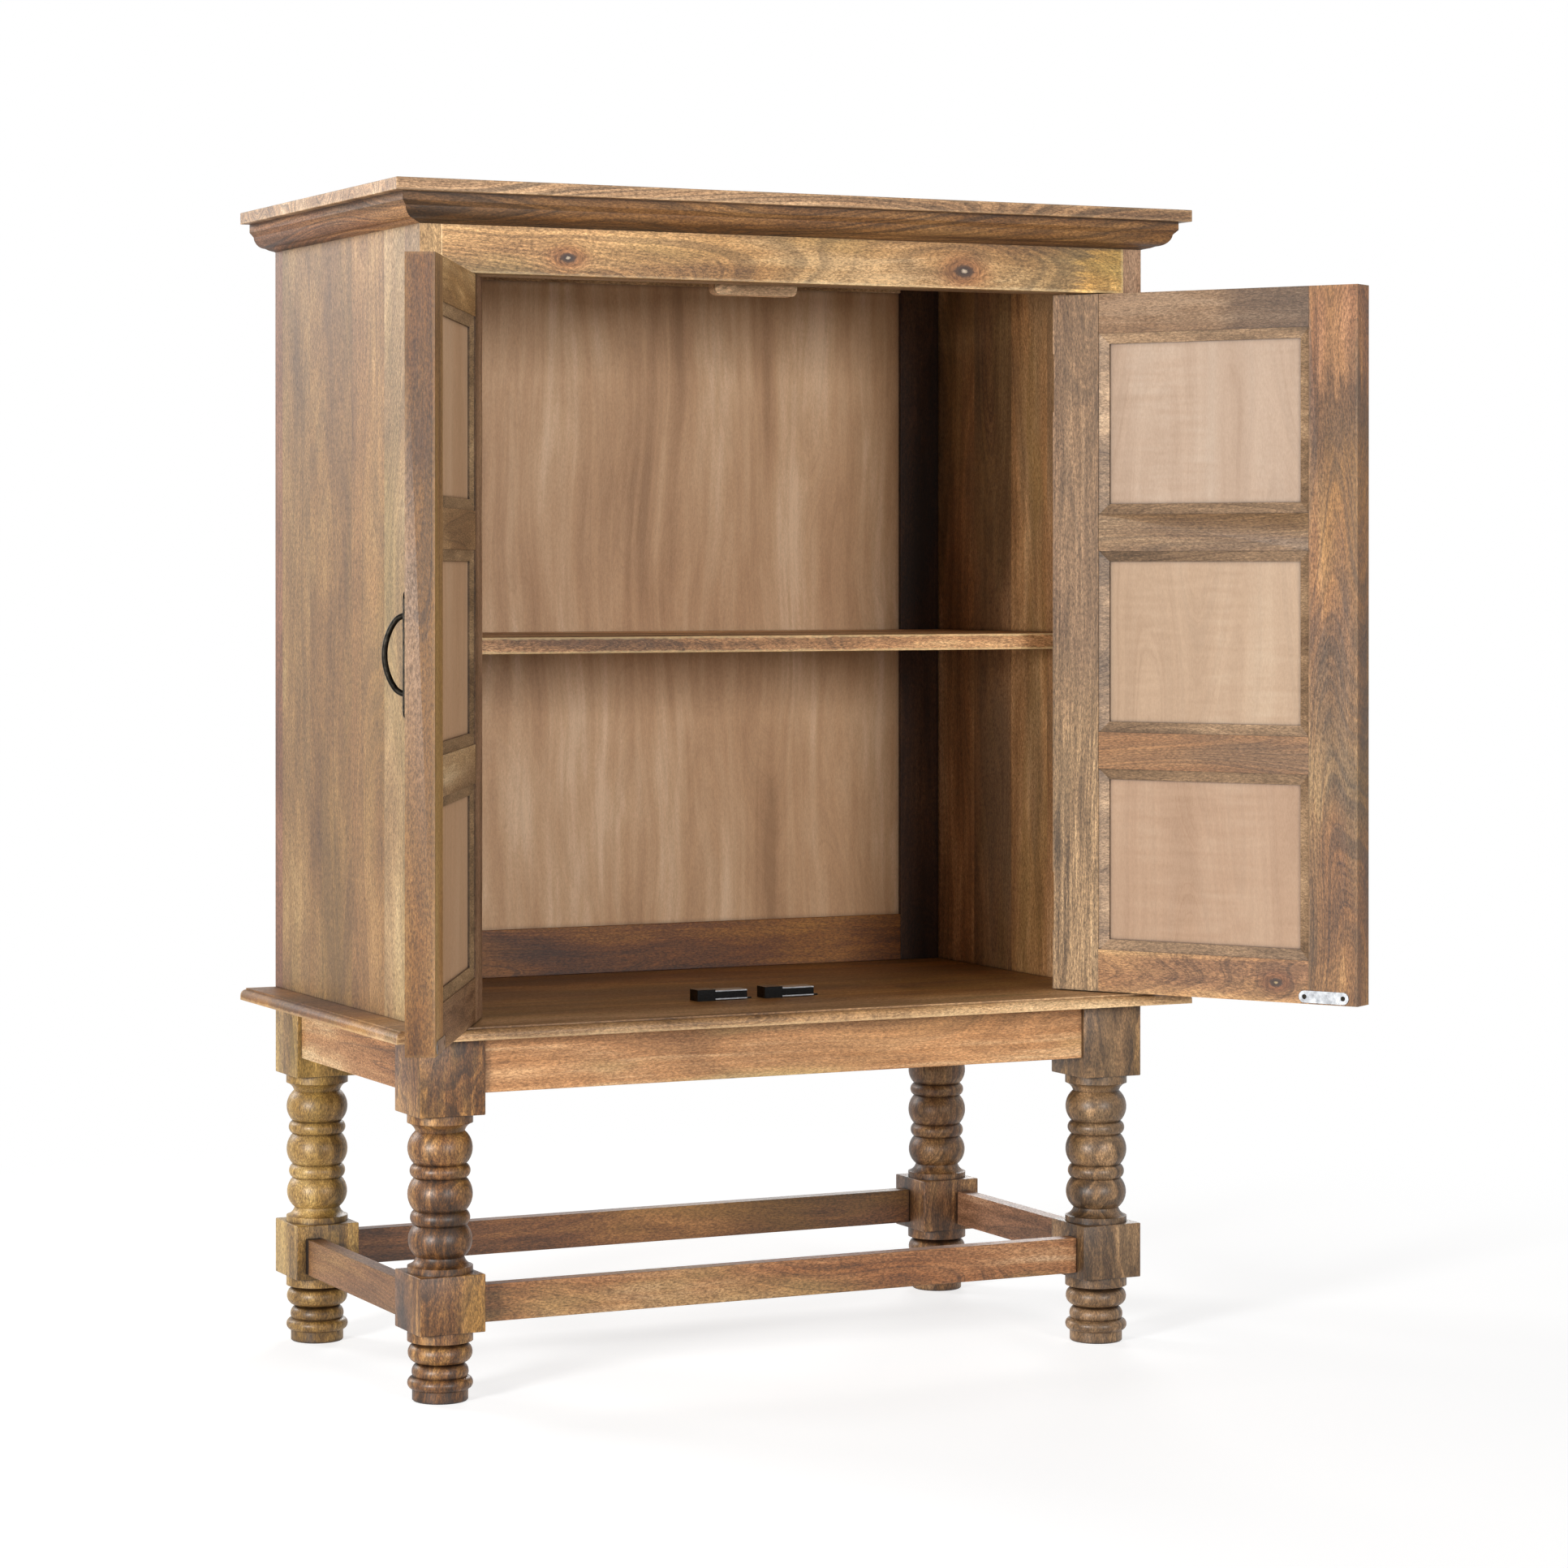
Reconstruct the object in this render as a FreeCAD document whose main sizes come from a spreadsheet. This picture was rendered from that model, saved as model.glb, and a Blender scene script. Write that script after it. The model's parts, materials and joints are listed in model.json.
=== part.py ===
import FreeCAD, Part
import math
import os
from types import SimpleNamespace

import Sketcher

# Trastero cabinet: a two-door cupboard on a stand with four turned legs.
# Millimetres, +Z up, the doors' side faces -Y. The doors stand open at rest.

driving_sizes = {
    # Whole cabinet
    "overall_height": 1524.0,
    "case_width": 1039.2,
    "case_depth": 542.0,
    "board_overhang": 50.0,
    "cornice_thickness": 15.6,
    "waist_top": 475.2,
    "waist_thickness": 15.6,
    "waist_edge_fillet": 2.0,
    "waist_edge_round": 8.0,
    "side_thickness": 27.6,
    "tongue_thickness": 12.0,
    "tongue_depth": 6.0,
    # Crown moulding
    "crown_reach": 36.7,
    "crown_height": 36.2,
    # Stand
    "leg_size": 88.0,
    "upper_block_height": 99.6,
    "lower_block_height": 72.6,
    "lower_block_bottom": 88.6,
    "apron_height": 72.6,
    "apron_thickness": 22.0,
    "apron_setback": 6.0,
    "stretcher_rise": 8.4,
    "stretcher_height": 47.0,
    "stretcher_thickness": 22.0,
    "stretcher_front_setback": 20.0,
    "stretcher_side_setback": 12.0,
    "rail_tenon_length": 20.0,
    "rail_tenon_thickness": 10.0,
    "rail_tenon_shoulder": 8.0,
    # Door frame, set back between the sides
    "frame_setback": 79.6,
    "jamb_thickness": 30.0,
    "frieze_height": 59.9,
    "head_rise": 4.0,
    "jamb_tenon_length": 8.0,
    "jamb_tenon_shoulder": 8.0,
    "soffit_thickness": 18.0,
    "cornice_rail_thickness": 20.0,
    # Inside
    "shelf_rise": 479.3,
    "shelf_thickness": 21.4,
    "shelf_setback": 125.0,
    "shelf_dado": 8.0,
    "back_frame_thickness": 18.0,
    "back_stile_width": 62.0,
    "back_rail_height": 66.0,
    "back_panel_thickness": 6.0,
    "back_panel_recess": 6.0,
    "back_groove_depth": 8.0,
    "back_panel_play": 1.0,
    # Doors
    "pin_inset": 72.4,
    "door_meeting_gap": 3.6,
    "door_thickness": 35.4,
    "door_bottom_gap": 1.6,
    "door_top_gap": 1.4,
    "left_door_angle": 119.1,
    "right_door_angle": 122.1,
    "door_stile_width": 68.8,
    "door_top_rail": 53.0,
    "door_middle_rail": 49.0,
    "door_bottom_rail": 56.0,
    "door_tenon_length": 30.0,
    "door_tenon_thickness": 12.0,
    "door_tenon_shoulder": 9.0,
    "door_panel_thickness": 12.0,
    "door_panel_recess": 8.0,
    "door_groove_depth": 8.0,
    "door_panel_play": 1.0,
    "bead_width": 14.0,
    "bead_lip": 1.5,
    "bead_edge": 2.5,
    # Hinges
    "hinge_height": 78.0,
    "hinge_inset": 118.0,
    "hinge_standoff": 3.6,
    "hinge_half_gap": 0.8,
    "hinge_leaf_thickness": 1.6,
    "hinge_leaf_reach": 33.6,
    "hinge_leaf_start": 3.7,
    "hinge_barrel_radius": 3.3,
    "hinge_pin_radius": 1.6,
    "hinge_pin_clearance": 0.05,
    "hinge_knuckle_gap": 0.4,
    "hinge_pin_head_radius": 2.6,
    "hinge_pin_head_height": 1.6,
    # Screws
    "screw_head_radius": 3.2,
    "screw_head_height": 1.5,
    "screw_shank_radius": 1.6,
    "screw_length": 14.0,
    "hinge_screw_spread": 27.0,
    "hinge_screw_line": 20.0,
    # Handles; the height is the grip's middle above the door's foot
    "handle_feet_spread": 92.0,
    "handle_projection": 32.0,
    "handle_bar_radius": 3.5,
    "handle_end_radius": 18.0,
    "handle_height": 466.2,
    "plate_length": 147.0,
    "plate_width": 20.0,
    "plate_thickness": 2.0,
    "plate_screw_inset": 11.0,
    # Magnetic catches and their strike plates; the inset is from the door's free edge
    "strike_length": 70.0,
    "strike_width": 15.8,
    "strike_thickness": 1.2,
    "strike_screw_spread": 54.4,
    "strike_inset": 47.2,
    "strike_rise": 9.5,
    "catch_gap": 0.4,
    "catch_housing_width": 26.0,
    "catch_depth": 24.0,
    "catch_height": 15.0,
    "catch_magnet_width": 46.0,
    "catch_magnet_height": 9.0,
    "catch_magnet_rise": 3.0,
    "catch_plate_thickness": 1.5,
    "catch_tab_width": 12.0,
    "catch_tab_thickness": 2.0,
    "catch_tab_depth": 12.0,
    # Stop block behind the head rail
    "stop_gap": 0.5,
    "stop_width": 120.0,
    "stop_drop": 13.3,
    "stop_height": 46.0,
    "stop_thickness": 20.0,
    "stop_corner": 9.0,
    # Angles and overruns
    "mitre_angle": 45.0,
    "overrun": 5.0,
}

# Turned profiles as shares: radius of half the leg's size, height of the turned length,
# then which way the next stretch bulges and by how much of half the leg's size.
upper_turning_shares = (
    (0.941, 0.000, 0, 0),
    (0.941, 0.049, -1, 0.050),
    (0.690, 0.104, 1, 0.200),
    (0.750, 0.300, 1, 0.111),
    (0.750, 0.391, 1, 0.184),
    (0.750, 0.593, 1, 0.120),
    (0.750, 0.679, 1, 0.205),
    (0.705, 0.881, -1, 0.045),
    (0.945, 0.935, 0, 0),
    (0.945, 1.000, 0, 0),
)
foot_turning_shares = (
    (0.770, 0.000, 0, 0),
    (0.802, 0.017, 0, 0),
    (0.802, 0.161, 1, 0.150),
    (0.780, 0.339, 1, 0.095),
    (0.640, 0.530, 1, 0.230),
    (0.750, 0.808, 0, 0),
    (0.943, 0.840, 0, 0),
    (0.943, 1.000, 0, 0),
)
# Crown profile: reach out from the case and height, as shares, then the next stretch's bulge.
crown_shares = (
    (0.000, 0.000, 0, 0),
    (0.050, 0.016, 0, 0),
    (0.248, 0.060, 0, 0),
    (0.398, 0.119, 1, 0.115),
    (0.845, 0.533, 0, 0),
    (1.000, 0.702, 0, 0),
    (1.000, 1.000, 0, 0),
    (0.000, 1.000, 0, 0),
)

os.makedirs("parts", exist_ok=True)
doc = FreeCAD.newDocument("trastero_cabinet")
sheet = doc.addObject("Spreadsheet::Sheet", "Sizes")
for row, (name, number) in enumerate(driving_sizes.items(), start=1):
    sheet.set(f"A{row}", name)
    sheet.set(f"B{row}", str(number))
    sheet.setAlias(f"B{row}", name)
doc.recompute()


class Dim:
    # A size as a number, together with the sheet formula that gives it.
    def __init__(self, number, formula):
        self.number = number
        self.formula = formula

    def __add__(self, other):
        other = dim(other)
        return Dim(self.number + other.number, f"({self.formula} + {other.formula})")

    def __radd__(self, other):
        return dim(other) + self

    def __sub__(self, other):
        other = dim(other)
        return Dim(self.number - other.number, f"({self.formula} - {other.formula})")

    def __rsub__(self, other):
        return dim(other) - self

    def __neg__(self):
        return Dim(-self.number, f"(0 - {self.formula})")

    def __mul__(self, other):
        other = dim(other)
        return Dim(self.number * other.number, f"({self.formula} * {other.formula})")

    def __rmul__(self, other):
        return dim(other) * self

    def __truediv__(self, other):
        other = dim(other)
        return Dim(self.number / other.number, f"({self.formula} / {other.formula})")


def dim(value):
    return value if isinstance(value, Dim) else Dim(float(value), repr(value))


def sine(angle):
    return Dim(math.sin(math.radians(angle.number)), f"sin({angle.formula})")


def cosine(angle):
    return Dim(math.cos(math.radians(angle.number)), f"cos({angle.formula})")


def slope_angle(rise, run):
    # The angle whose tangent is rise over run.
    angle = math.degrees(math.atan2(rise.number, run.number))
    return Dim(angle, f"atan2({rise.formula}; {run.formula})")


size = SimpleNamespace(**{name: Dim(number, f"Sizes.{name}") for name, number in driving_sizes.items()})
zero = dim(0)
x_axis = FreeCAD.Vector(1, 0, 0)
y_axis = FreeCAD.Vector(0, 1, 0)
z_axis = FreeCAD.Vector(0, 0, 1)
parts = []

# Places worked out from the driving sizes
half_case = size.case_width / 2
board_half = half_case + size.board_overhang
case_top = size.overall_height - size.cornice_thickness
waist_bottom = size.waist_top - size.waist_thickness
crown_bottom = case_top - size.crown_height
frieze_bottom = crown_bottom - size.frieze_height
head_bottom = frieze_bottom + size.head_rise
shelf_top = size.waist_top + size.shelf_rise
upper_block_bottom = waist_bottom - size.upper_block_height
lower_block_top = size.lower_block_bottom + size.lower_block_height
stretcher_bottom = size.lower_block_bottom + size.stretcher_rise
inner_half = half_case - size.side_thickness
pin_x = half_case - size.pin_inset
pin_y = size.frame_setback - size.hinge_standoff
door_reach = pin_x - size.door_meeting_gap / 2
door_outer = size.hinge_standoff
door_inner = door_outer + size.door_thickness
door_bottom = size.waist_top + size.door_bottom_gap
door_top = frieze_bottom - size.door_top_gap
door_back = size.frame_setback + size.door_thickness
back_face = size.case_depth - size.back_frame_thickness
handle_middle = door_bottom + size.handle_height
handle_line = door_reach - size.door_stile_width / 2
handle_grip = door_outer - size.handle_projection + size.handle_bar_radius
strike_line = door_reach - size.strike_inset
door_angles = {-1: size.left_door_angle, 1: size.right_door_angle}


def handle_limit(side):
    # How far the handle of an open door reaches sideways from the cabinet's middle.
    angle = door_angles[side]
    return pin_x - handle_line * cosine(angle) - handle_grip * sine(angle) + size.handle_bar_radius


front_limit = pin_y - door_reach * sine(size.left_door_angle) + door_inner * cosine(size.left_door_angle)
centre_x = (handle_limit(1) - handle_limit(-1)) / 2
centre_y = (front_limit + size.case_depth) / 2


def bind(item, prop, value):
    item.setExpression(prop, dim(value).formula)


def put(item, base, rotation=None):
    if rotation is not None:
        item.Placement = FreeCAD.Placement(FreeCAD.Vector(), rotation)
    for axis, value in zip("xyz", base):
        bind(item, f"Placement.Base.{axis}", value)
    return item


def block(x, y, z):
    # A plain block between a low and a high limit along each axis.
    item = doc.addObject("Part::Box", "block")
    for prop, (low, high) in zip(("Length", "Width", "Height"), (x, y, z)):
        bind(item, prop, high - low)
    return put(item, (x[0], y[0], z[0]))


def rod(base, direction, radius, length):
    item = doc.addObject("Part::Cylinder", "rod")
    bind(item, "Radius", radius)
    bind(item, "Height", length)
    return put(item, base, FreeCAD.Rotation(z_axis, direction))


def cone(base, direction, radius, far_radius, length):
    item = doc.addObject("Part::Cone", "cone")
    bind(item, "Radius1", radius)
    bind(item, "Radius2", far_radius)
    bind(item, "Height", length)
    return put(item, base, FreeCAD.Rotation(z_axis, direction))


def fuse(items):
    item = doc.addObject("Part::MultiFuse", "joined")
    item.Shapes = items
    item.Refine = True
    return item


def gather(items):
    item = doc.addObject("Part::Compound", "group")
    item.Links = items
    return item


def cut(base, tools):
    item = doc.addObject("Part::Cut", "cut")
    item.Base = base
    item.Tool = gather(tools)
    return item


def piece(label, spot, items):
    # One named sub-part: its solids, placed on the case or on a door.
    item = doc.addObject("Part::Compound", label)
    item.Label = label
    item.Links = items
    x, y, angle = spot
    if angle is not None:
        item.Placement = FreeCAD.Placement(FreeCAD.Vector(), FreeCAD.Rotation(z_axis, 1))
        bind(item, "Placement.Rotation.Angle", angle)
    put(item, (x, y, zero))
    parts.append(item)


def span(side, near, far):
    # Limits along X, measured outward from the middle on one side.
    return (near, far) if side > 0 else (-far, -near)


case_spot = (-centre_x, -centre_y, None)


def door_spot(side):
    return (side * pin_x - centre_x, pin_y - centre_y, side * door_angles[side])


def outline(body, role, points):
    # A closed sketch; each point is (across, up, turn, bulge) and leads to the next one.
    sketch = body.newObject("Sketcher::SketchObject", body.Name + "_outline")
    plane = next(item for item in body.Origin.OriginFeatures if item.Role == role)
    sketch.AttachmentSupport = [(plane, "")]
    sketch.MapMode = "FlatFace"
    ends = []
    for here, there in zip(points, points[1:] + points[:1]):
        start = FreeCAD.Vector(here[0].number, here[1].number, 0)
        end = FreeCAD.Vector(there[0].number, there[1].number, 0)
        if here[2] == 0:
            edge = sketch.addGeometry(Part.LineSegment(start, end))
            ends.append((edge, 1, 2))
            continue
        # The bulge is to the right of the way along the outline when turn is 1.
        across = there[0] - here[0]
        up = there[1] - here[1]
        bulge = here[3]
        radius = ((across * across + up * up) / 4 + bulge * bulge) / (2 * bulge)
        way = (end - start).normalize()
        right = FreeCAD.Vector(way.y, -way.x, 0) * here[2]
        middle = (start + end) / 2 - right * (radius.number - bulge.number)
        first, last = (start, end) if here[2] > 0 else (end, start)
        angles = [math.atan2(spot.y - middle.y, spot.x - middle.x) for spot in (first, last)]
        circle = Part.Circle(middle, z_axis, radius.number)
        edge = sketch.addGeometry(Part.ArcOfCircle(circle, angles[0], angles[1]))
        ends.append((edge, 1, 2) if here[2] > 0 else (edge, 2, 1))
        index = sketch.addConstraint(Sketcher.Constraint("Radius", edge, radius.number))
        sketch.setExpression(f"Constraints[{index}]", radius.formula)
    for (edge, _, finish), (other, begin, _) in zip(ends, ends[1:] + ends[:1]):
        sketch.addConstraint(Sketcher.Constraint("Coincident", edge, finish, other, begin))
    for (edge, begin, _), point in zip(ends, points):
        for kind, value in zip(("DistanceX", "DistanceY"), point[:2]):
            limit = Sketcher.Constraint(kind, -1, 1, edge, begin, value.number)
            index = sketch.addConstraint(limit)
            sketch.setExpression(f"Constraints[{index}]", value.formula)
    return sketch


def turned(name, radius, bottom, top, shares):
    # A solid turned about a vertical axis from a table of shares.
    body = doc.addObject("PartDesign::Body", name)
    rise = top - bottom
    points = []
    for reach_share, height_share, turn, bulge_share in shares:
        points.append((reach_share * radius, bottom + height_share * rise, turn, bulge_share * radius))
    points.append((zero, top, 0, zero))
    points.append((zero, bottom, 0, zero))
    sketch = outline(body, "XZ_Plane", points)
    item = body.newObject("PartDesign::Revolution", name + "_turning")
    item.Profile = sketch
    item.ReferenceAxis = (sketch, ["V_Axis"])
    return body


def moulding(name, role, side, points, length, base):
    # A profile of (outward, up) points drawn out along X or Y.
    body = doc.addObject("PartDesign::Body", name)
    flipped = [(side * out, up, side * turn, bulge) for out, up, turn, bulge in points]
    sketch = outline(body, role, flipped)
    item = body.newObject("PartDesign::Pad", name + "_run")
    item.Profile = sketch
    item.Reversed = role == "XZ_Plane"
    bind(item, "Length", length)
    return put(body, base)


def mitre_waste(corner_x, eighths, start):
    # The waste beyond a mitre at one front corner of the case.
    angle = eighths * size.mitre_angle
    reach = 3 * size.crown_reach
    item = doc.addObject("Part::Box", "mitre_waste")
    bind(item, "Length", reach)
    bind(item, "Width", reach + size.overrun)
    bind(item, "Height", size.crown_height + 2 * size.overrun)
    item.Placement = FreeCAD.Placement(FreeCAD.Vector(), FreeCAD.Rotation(z_axis, 1))
    bind(item, "Placement.Rotation.Angle", angle)
    base_z = case_top - size.crown_height - size.overrun
    return put(item, (corner_x - start * sine(angle), start * cosine(angle), base_z))


def screw(base, direction):
    # A countersunk screw whose head lies flush at base and whose shank runs along direction.
    head = cone(base, direction, size.screw_head_radius, size.screw_shank_radius, size.screw_head_height)
    shank = rod(base, direction, size.screw_shank_radius, size.screw_length)
    return fuse([head, shank])


# Stand: rails with their tenons, then the legs that they enter
leg_inner = half_case - size.leg_size
leg_far = size.case_depth - size.leg_size


def rail_limits(kind):
    if kind == "apron":
        return (waist_bottom - size.apron_height, waist_bottom), size.apron_thickness
    height = (stretcher_bottom, stretcher_bottom + size.stretcher_height)
    return height, size.stretcher_thickness


def cross_rail(kind, front, setback):
    # A rail along X at the front or back, with a tenon at each end.
    height, thickness = rail_limits(kind)
    face = setback if front else size.case_depth - setback - thickness
    body = block((-leg_inner, leg_inner), (face, face + thickness), height)
    low = face + (thickness - size.rail_tenon_thickness) / 2
    depth = (low, low + size.rail_tenon_thickness)
    tall = (height[0] + size.rail_tenon_shoulder, height[1] - size.rail_tenon_shoulder)
    reach = leg_inner + size.rail_tenon_length
    tenons = [block(span(side, leg_inner, reach), depth, tall) for side in (-1, 1)]
    return body, tenons


def side_rail(kind, side, setback):
    # A rail along Y at the left or right, with a tenon at each end.
    height, thickness = rail_limits(kind)
    far = half_case - setback
    near = far - thickness
    body = block(span(side, near, far), (size.leg_size, leg_far), height)
    low = near + (thickness - size.rail_tenon_thickness) / 2
    wide = span(side, low, low + size.rail_tenon_thickness)
    tall = (height[0] + size.rail_tenon_shoulder, height[1] - size.rail_tenon_shoulder)
    front_tenon = block(wide, (size.leg_size - size.rail_tenon_length, size.leg_size), tall)
    back_tenon = block(wide, (leg_far, leg_far + size.rail_tenon_length), tall)
    return body, [front_tenon, back_tenon]


leg_mortises = {(side, front): [] for side in (-1, 1) for front in (True, False)}
side_names = {-1: "left", 1: "right"}
for kind, front_setback, side_setback in (
    ("apron", size.apron_setback, size.apron_setback),
    ("stretcher", size.stretcher_front_setback, size.stretcher_side_setback),
):
    for front, place in ((True, "front"), (False, "back")):
        body, tenons = cross_rail(kind, front, front_setback)
        piece(f"{kind}_{place}", case_spot, [fuse([body] + tenons)])
        leg_mortises[-1, front].append(tenons[0])
        leg_mortises[1, front].append(tenons[1])
    for side, place in side_names.items():
        body, tenons = side_rail(kind, side, side_setback)
        piece(f"{kind}_{place}", case_spot, [fuse([body] + tenons)])
        leg_mortises[side, True].append(tenons[0])
        leg_mortises[side, False].append(tenons[1])

half_leg = size.leg_size / 2
leg_square = (-half_leg, half_leg)
leg_blank = fuse([
    block(leg_square, leg_square, (upper_block_bottom, waist_bottom)),
    turned("upper_turning", half_leg, lower_block_top, upper_block_bottom, upper_turning_shares),
    block(leg_square, leg_square, (size.lower_block_bottom, lower_block_top)),
    turned("foot_turning", half_leg, zero, size.lower_block_bottom, foot_turning_shares),
])
for (side, front), mortises in leg_mortises.items():
    leg_y = half_leg if front else size.case_depth - half_leg
    leg = put(gather([leg_blank]), (side * (half_case - half_leg), leg_y, zero))
    row_name = "front" if front else "back"
    piece(f"leg_{row_name}_{side_names[side]}", case_spot, [cut(leg, mortises)])

# Waist board, with its moulded edge at the front and both ends
edge_start = size.board_overhang - size.waist_edge_round
edge_end = size.board_overhang
edge_far = edge_end + size.overrun
edge_high = size.waist_top - size.waist_edge_fillet
edge_low = edge_high - size.waist_edge_round
edge_over = size.waist_top + size.overrun
# Rise of a quarter circle over its chord
quarter_bulge = size.waist_edge_round * (1 - cosine(size.mitre_angle))
edge_waste = [
    (edge_start, edge_over, 0, zero),
    (edge_start, edge_high, -1, quarter_bulge),
    (edge_end, edge_low, 0, zero),
    (edge_far, edge_low, 0, zero),
    (edge_far, edge_over, 0, zero),
]
edge_front = -board_half - size.overrun
edge_run = 2 * (board_half + size.overrun)
edge_depth = size.case_depth + size.board_overhang + 2 * size.overrun
edge_y = -size.board_overhang - size.overrun
waist_wastes = [moulding("front_edge_waste", "YZ_Plane", -1, edge_waste, edge_run, (edge_front, zero, zero))]
for side in (-1, 1):
    waste_base = (side * half_case, edge_y, zero)
    waist_wastes.append(moulding("end_edge_waste", "XZ_Plane", side, edge_waste, edge_depth, waste_base))

# Tongues of the sides and tenons of the jambs, which the boards above and below take in
tongue_in = (size.side_thickness - size.tongue_thickness) / 2
tongue_y = (size.board_overhang / 2, size.case_depth - size.board_overhang / 2)


def side_tongue(side, low):
    wide = span(side, inner_half + tongue_in, half_case - tongue_in)
    return block(wide, tongue_y, (low, low + size.tongue_depth))


def jamb_tenon(side, low):
    wide = span(side, pin_x + 2 * size.jamb_tenon_shoulder, inner_half - size.jamb_tenon_shoulder)
    deep = (size.frame_setback + size.jamb_tenon_shoulder, jamb_back - size.jamb_tenon_shoulder)
    return block(wide, deep, (low, low + size.jamb_tenon_length))


jamb_back = size.frame_setback + size.jamb_thickness
low_tongues = {side: side_tongue(side, size.waist_top - size.tongue_depth) for side in (-1, 1)}
high_tongues = {side: side_tongue(side, case_top) for side in (-1, 1)}
low_tenons = {side: jamb_tenon(side, size.waist_top - size.jamb_tenon_length) for side in (-1, 1)}
high_tenons = {side: jamb_tenon(side, head_bottom) for side in (-1, 1)}

board_x = (-board_half, board_half)
board_y = (-size.board_overhang, size.case_depth)

# Magnetic catches on the waist board: a black housing and magnet between steel pole plates
catch_front = door_back + size.strike_thickness + size.catch_gap
catch_y = (catch_front, catch_front + size.catch_depth)
magnet_low = size.waist_top + size.catch_magnet_rise
magnet_high = magnet_low + size.catch_magnet_height


def catch(side):
    # Housing, magnet and screw tab in one, and the two pole plates.
    middle = side * (pin_x - strike_line)
    left = middle - (size.catch_housing_width + size.catch_magnet_width) / 2
    joint = left + size.catch_housing_width
    right = joint + size.catch_magnet_width
    tab_y = (catch_front + size.catch_depth - size.catch_tab_depth, catch_front + size.catch_depth)
    tab_x = (right, right + size.catch_tab_width)
    housing = fuse([
        block((left, joint), catch_y, (size.waist_top, size.waist_top + size.catch_height)),
        block((joint, right), catch_y, (magnet_low, magnet_high)),
        block((joint, right), tab_y, (size.waist_top, magnet_low)),
        block(tab_x, tab_y, (size.waist_top, size.waist_top + size.catch_tab_thickness)),
    ])
    plate_y = (catch_front, tab_y[0])
    lower = block((joint, right), plate_y, (magnet_low - size.catch_plate_thickness, magnet_low))
    upper = block((joint, right), catch_y, (magnet_high, magnet_high + size.catch_plate_thickness))
    tab_middle = (right + size.catch_tab_width / 2, (tab_y[0] + tab_y[1]) / 2)
    fixing = screw((tab_middle[0], tab_middle[1], size.waist_top + size.catch_tab_thickness), -z_axis)
    return housing, [lower, upper], fixing


catches = [catch(side) for side in (-1, 1)]
catch_screws = [fixing for _, _, fixing in catches]
waist_cuts = waist_wastes + list(low_tongues.values()) + list(low_tenons.values()) + catch_screws
waist_blank = block(board_x, board_y, (waist_bottom, size.waist_top))
piece("waist_board", case_spot, [cut(waist_blank, waist_cuts)])
piece("catch_housings", case_spot, [cut(housing, [fixing]) for housing, _, fixing in catches])
piece("catch_pole_plates", case_spot, [plate for _, plates, _ in catches for plate in plates])

# Cornice board
cornice_blank = block(board_x, board_y, (case_top, size.overall_height))
piece("cornice_board", case_spot, [cut(cornice_blank, list(high_tongues.values()))])

# Sides, housed out for the shelf
shelf_x = inner_half + size.shelf_dado
shelf_z = (shelf_top - size.shelf_thickness, shelf_top)
shelf = block((-shelf_x, shelf_x), (size.shelf_setback, back_face), shelf_z)
for side, place in side_names.items():
    board = block(span(side, inner_half, half_case), (zero, size.case_depth), (size.waist_top, case_top))
    blank = fuse([board, low_tongues[side], high_tongues[side]])
    piece(f"side_{place}", case_spot, [cut(blank, [shelf])])
piece("shelf", case_spot, [shelf])

# Butt hinges: leaves let in flush, five knuckles on one loose pin
knuckle_height = (size.hinge_height - 4 * size.hinge_knuckle_gap) / 5
knuckle_step = knuckle_height + size.hinge_knuckle_gap
hinge_heights = (door_bottom + size.hinge_inset, door_top - size.hinge_inset)


def hinge_leaf(outward, base_x, base_y, knuckles, bore):
    # One leaf of each hinge; outward is the way along X from the pin to the wood.
    leaves = []
    gains = []
    screws = []
    wide = span(outward, size.hinge_half_gap, size.hinge_half_gap + size.hinge_leaf_thickness)
    wide = (base_x + wide[0], base_x + wide[1])
    for middle in hinge_heights:
        low = middle - size.hinge_height / 2
        high = low + size.hinge_height
        plate = block(wide, (base_y + size.hinge_leaf_start, base_y + size.hinge_leaf_reach), (low, high))
        solids = [plate]
        for knuckle in knuckles:
            foot = low + knuckle * knuckle_step
            solids.append(rod((base_x, base_y, foot), z_axis, size.hinge_barrel_radius, knuckle_height))
            neck = (base_y, base_y + size.hinge_leaf_start)
            solids.append(block(wide, neck, (foot, foot + knuckle_height)))
        hole_base = (base_x, base_y, low - size.overrun)
        hole = rod(hole_base, z_axis, bore, size.hinge_height + 2 * size.overrun)
        fixings = []
        face_x = base_x + outward * size.hinge_half_gap
        for row in (-1, 0, 1):
            screw_base = (face_x, base_y + size.hinge_screw_line, middle + row * size.hinge_screw_spread)
            fixings.append(screw(screw_base, outward * x_axis))
        leaves.append(cut(fuse(solids), [hole] + fixings))
        gains.append(block(wide, (base_y + door_outer, base_y + door_inner), (low, high)))
        screws += fixings
    return leaves, gains, screws


frame_leaves = []
frame_screws = list(catch_screws)
for side, place in side_names.items():
    leaves, gains, screws = hinge_leaf(side, side * pin_x, pin_y, (0, 2, 4), size.hinge_pin_radius)
    jamb_x = span(side, pin_x + size.hinge_half_gap, inner_half)
    jamb_y = (size.frame_setback, jamb_back)
    jamb = block(jamb_x, jamb_y, (size.waist_top, head_bottom))
    blank = fuse([jamb, low_tenons[side], high_tenons[side]])
    piece(f"jamb_{place}", case_spot, [cut(blank, gains + screws)])
    frame_leaves += leaves
    frame_screws += screws
piece("hinge_leaves_frame", case_spot, frame_leaves)

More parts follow.
